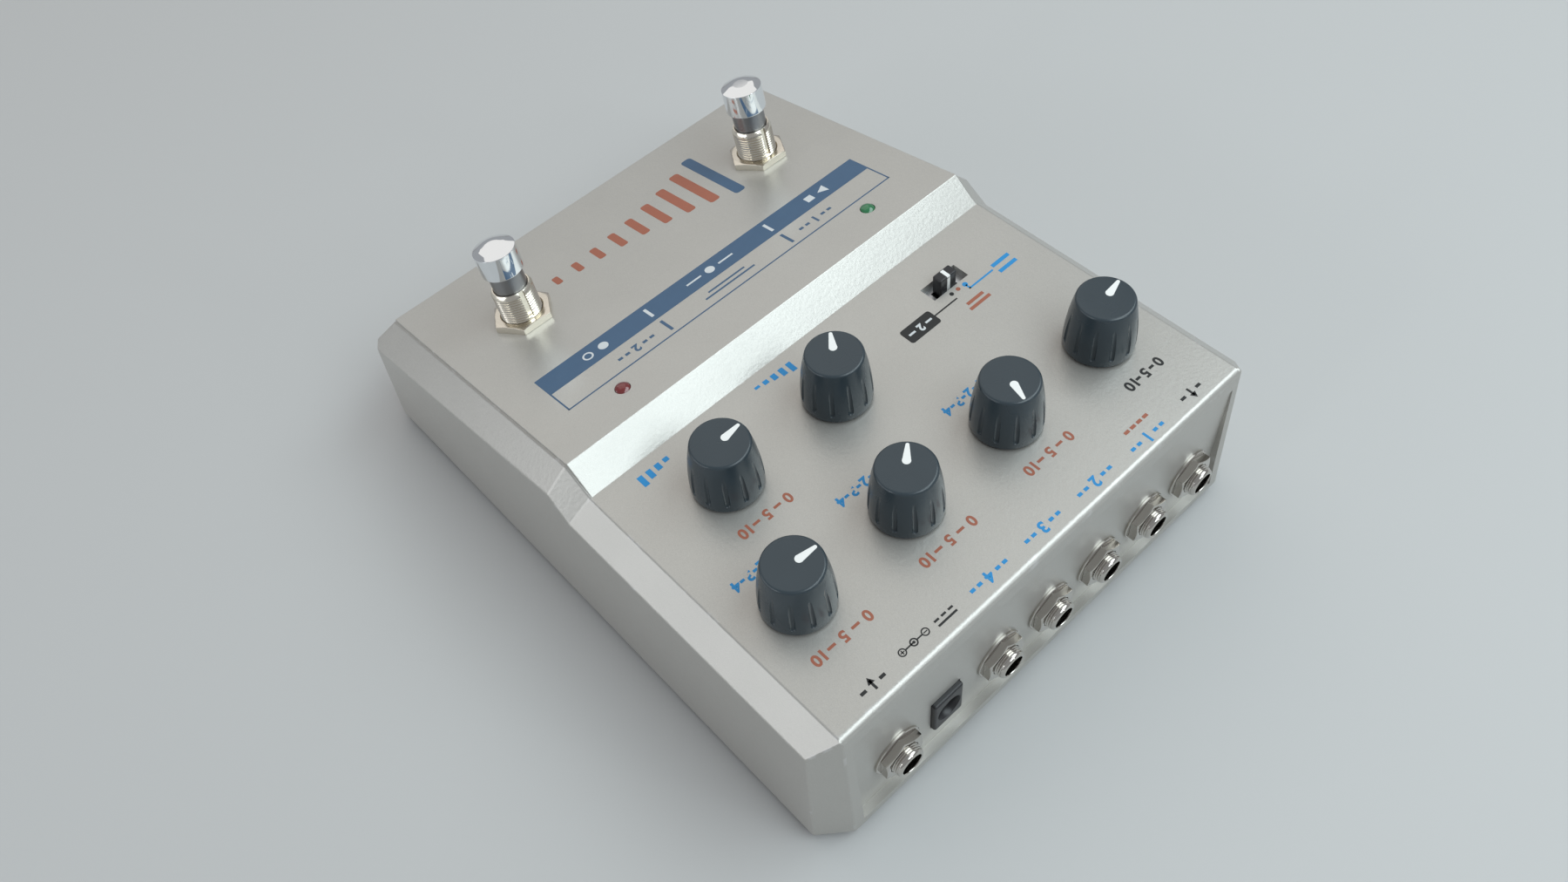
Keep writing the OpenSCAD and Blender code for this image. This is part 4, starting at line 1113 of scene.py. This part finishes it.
# %% Black and white marks on the control panel
black = number_row(DIAL, -56.9, -18.1, 11.0)
for x, heading, turned in ((-59.9, 1, 0), (59.8, -1, 180)):
    black += ink_bars((x - 4.0, -5.8, x - 2.2, -4.9), (x + 2.2, -5.8, x + 4.0, -4.9),
                      (x - 0.35, -6.8, x + 0.35, -3.9))
    black.append(ink_disc(x, -5.3 + heading * 1.1, 1.25, 3, turned))
black += ink_bars((31.6, -5.2, 38.0, -4.6), (31.6, -6.7, 33.2, -6.1), (34.0, -6.7, 35.6, -6.1),
                  (36.4, -6.7, 38.0, -6.1))
for x, line in ((41.3, 0.35), (49.1, 0.35), (45.2, 0.4)):
    black.append(ink_ring(x, -6.2, 1.15, line))
black.append(ink_disc(45.2, -6.2, 0.4))
black += ink_bars((42.4, -6.4, 44.1, -6.0), (45.5, -6.4, 48.0, -6.0), (40.7, -6.35, 41.9, -6.05),
                  (48.5, -6.35, 49.7, -6.05), (48.95, -6.8, 49.25, -5.6))
black += [ink_pad(-33.2, -76.1, -21.4, -70.4, 0.9), ink_bar(-42.4, -73.45, -33.1, -72.95),
          ink_disc(-42.5, -75.4, 0.7)]
print_ink("print_black", ink_black, black)
white = [ink_number("2", -27.3, -73.2, 2.6, OVER)]
white += ink_bars((-31.8, -73.6, -29.4, -72.9), (-25.2, -73.6, -22.8, -72.9), slab=OVER)
print_ink("print_white", ink_white, white)

# %% [markdown]
# ## Marks on the foot panel
# The foot panel carries a slate band with a thin outlined box behind it, and plain transport signs. Between
# the switches stands a row of bars that die away like the echoes of one note. The marks are laid out flat,
# measured down the slope from the ridge, and then tipped onto the panel.

# %% Band and box
BAND_HALF_W, BOX_LINE, DIVIDER_X = 62.4, 0.5, 23.6
FIRST_BAR_X, FIRST_BAR_HALF_W, FIRST_BAR_HALF_L = -31.5, 2.0, 15.0


def down_slope(y):
    return (y - RIDGE.y) / math.cos(SLOPE)


band_near, band_far, box_far = down_slope(-137.6), down_slope(-129.2), down_slope(-119.8)
text_y = (band_far + box_far) / 2
first_bar = down_slope(-170)
slate = [ink_bar(-BAND_HALF_W, band_near, BAND_HALF_W, band_far)]
slate += [ink_bar(side * BAND_HALF_W, band_far - 0.1, side * (BAND_HALF_W - BOX_LINE), box_far)
          for side in (-1, 1)]
slate.append(ink_bar(-BAND_HALF_W, box_far - BOX_LINE, BAND_HALF_W, box_far))
slate += [ink_bar(x - 0.5, band_far + 1.6, x + 0.5, box_far - 2.0) for x in (-DIVIDER_X, DIVIDER_X)]
slate += dashed_number("1", -35.0, text_y, 13.0) + dashed_number("2", 35.0, text_y, 13.0)
slate += [ink_bar(-9.5, text_y + 0.5, 9.5, text_y + 1.2), ink_bar(-7.0, text_y - 1.4, 7.0, text_y - 0.7)]
slate.append(ink_pad(FIRST_BAR_X - FIRST_BAR_HALF_W, first_bar - FIRST_BAR_HALF_L,
                     FIRST_BAR_X + FIRST_BAR_HALF_W, first_bar + FIRST_BAR_HALF_L, 1.2))
print_ink("art_slate", ink_slate, slate, on_slope=True)

# %% Echo bars and signs
ECHO_PITCH, ECHO_SHORTER, ECHO_THINNER = 7.9, 0.78, 0.93
echoes = []
for k in range(1, 9):
    tall = FIRST_BAR_HALF_L * ECHO_SHORTER ** k
    wide = FIRST_BAR_HALF_W * ECHO_THINNER ** k
    x = FIRST_BAR_X + ECHO_PITCH * k
    echoes.append(ink_pad(x - wide, first_bar - tall, x + wide, first_bar + tall, 0.55 * wide))
print_ink("art_red", ink_red, echoes, on_slope=True)
band_y = (band_near + band_far) / 2
signs = [ink_bar(x - 0.5, band_near + 1.9, x + 0.5, band_far - 1.9, OVER) for x in (-DIVIDER_X, DIVIDER_X)]
signs += [ink_disc(-46.5, band_y, 2.2, 3, -90, OVER), ink_bar(-42.2, band_y - 1.4, -39.4, band_y + 1.4, OVER),
          ink_disc(0, band_y, 1.6, slab=OVER), ink_bar(-9.0, band_y - 0.35, -3.4, band_y + 0.35, OVER),
          ink_bar(3.4, band_y - 0.35, 9.0, band_y + 0.35, OVER),
          ink_disc(40.5, band_y, 1.6, slab=OVER), ink_ring(46.0, band_y, 1.7, 0.55, OVER)]
print_ink("art_white", ink_white, signs, on_slope=True)

# %% [markdown]
# ## Return springs
# Inside each switch a wound wire pushes the plunger up again. A copy of the CAD coil stands in for it and
# rides on the case. The heights of its points along the plunger's axis are measured, but nothing squashes
# the coil as the switch goes down, so the pressed plunger cuts into it.

# %% Return springs
for word in ("left", "right"):
    stroke = next(joint for joint in frame["joints"] if joint["name"] == f"foot_{word}_stroke")
    coil = frame["nodes"][f"foot_{word}_spring"].data.copy()
    spring = bpy.data.objects.new(f"switch_spring_{word}", coil)
    bpy.context.scene.collection.objects.link(spring)
    clean(spring)
    smooth(spring, 65)
    dress(spring, dark_steel, "case", "steel", f"foot_{word}_spring")
    up = -Vector(stroke["axis"])
    heights = [point.co.dot(up) for point in spring.data.vertices]
    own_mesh(spring)

# %% [markdown]
# ## The pieces that stay CAD
# Pointers, plungers, lamps and everything else inside the case keep their CAD shape. Each still gets a
# finish with its own grain, chosen from what the real part is made of: plated steel, glass-fibre board or
# moulded plastic.

# %% Finishes on the CAD pieces
node_finish = {"main_board": board_green, "jack_board": board_green, "pot_nuts": zinc, "slide_body": zinc,
               "lamp_left": lens_green, "lamp_right": lens_red, "lamp_spacers": black_plastic,
               "foot_washers": zinc, "jack_bodies": black_plastic, "inlet_pin": nickel}
for i in range(1, len(KNOBS) + 1):
    node_finish.update({f"pointer_{i}": pointer_white, f"shaft_{i}": zinc, f"pot_{i}": zinc})
for word in ("left", "right"):
    node_finish.update({f"foot_{word}_body": switch_blue, f"foot_{word}_plunger": dark_steel})
for name, material in node_finish.items():
    node = frame["nodes"][name]
    node.data.materials.clear()
    node.data.materials.append(material)
print(len(node_finish), "CAD pieces finished")
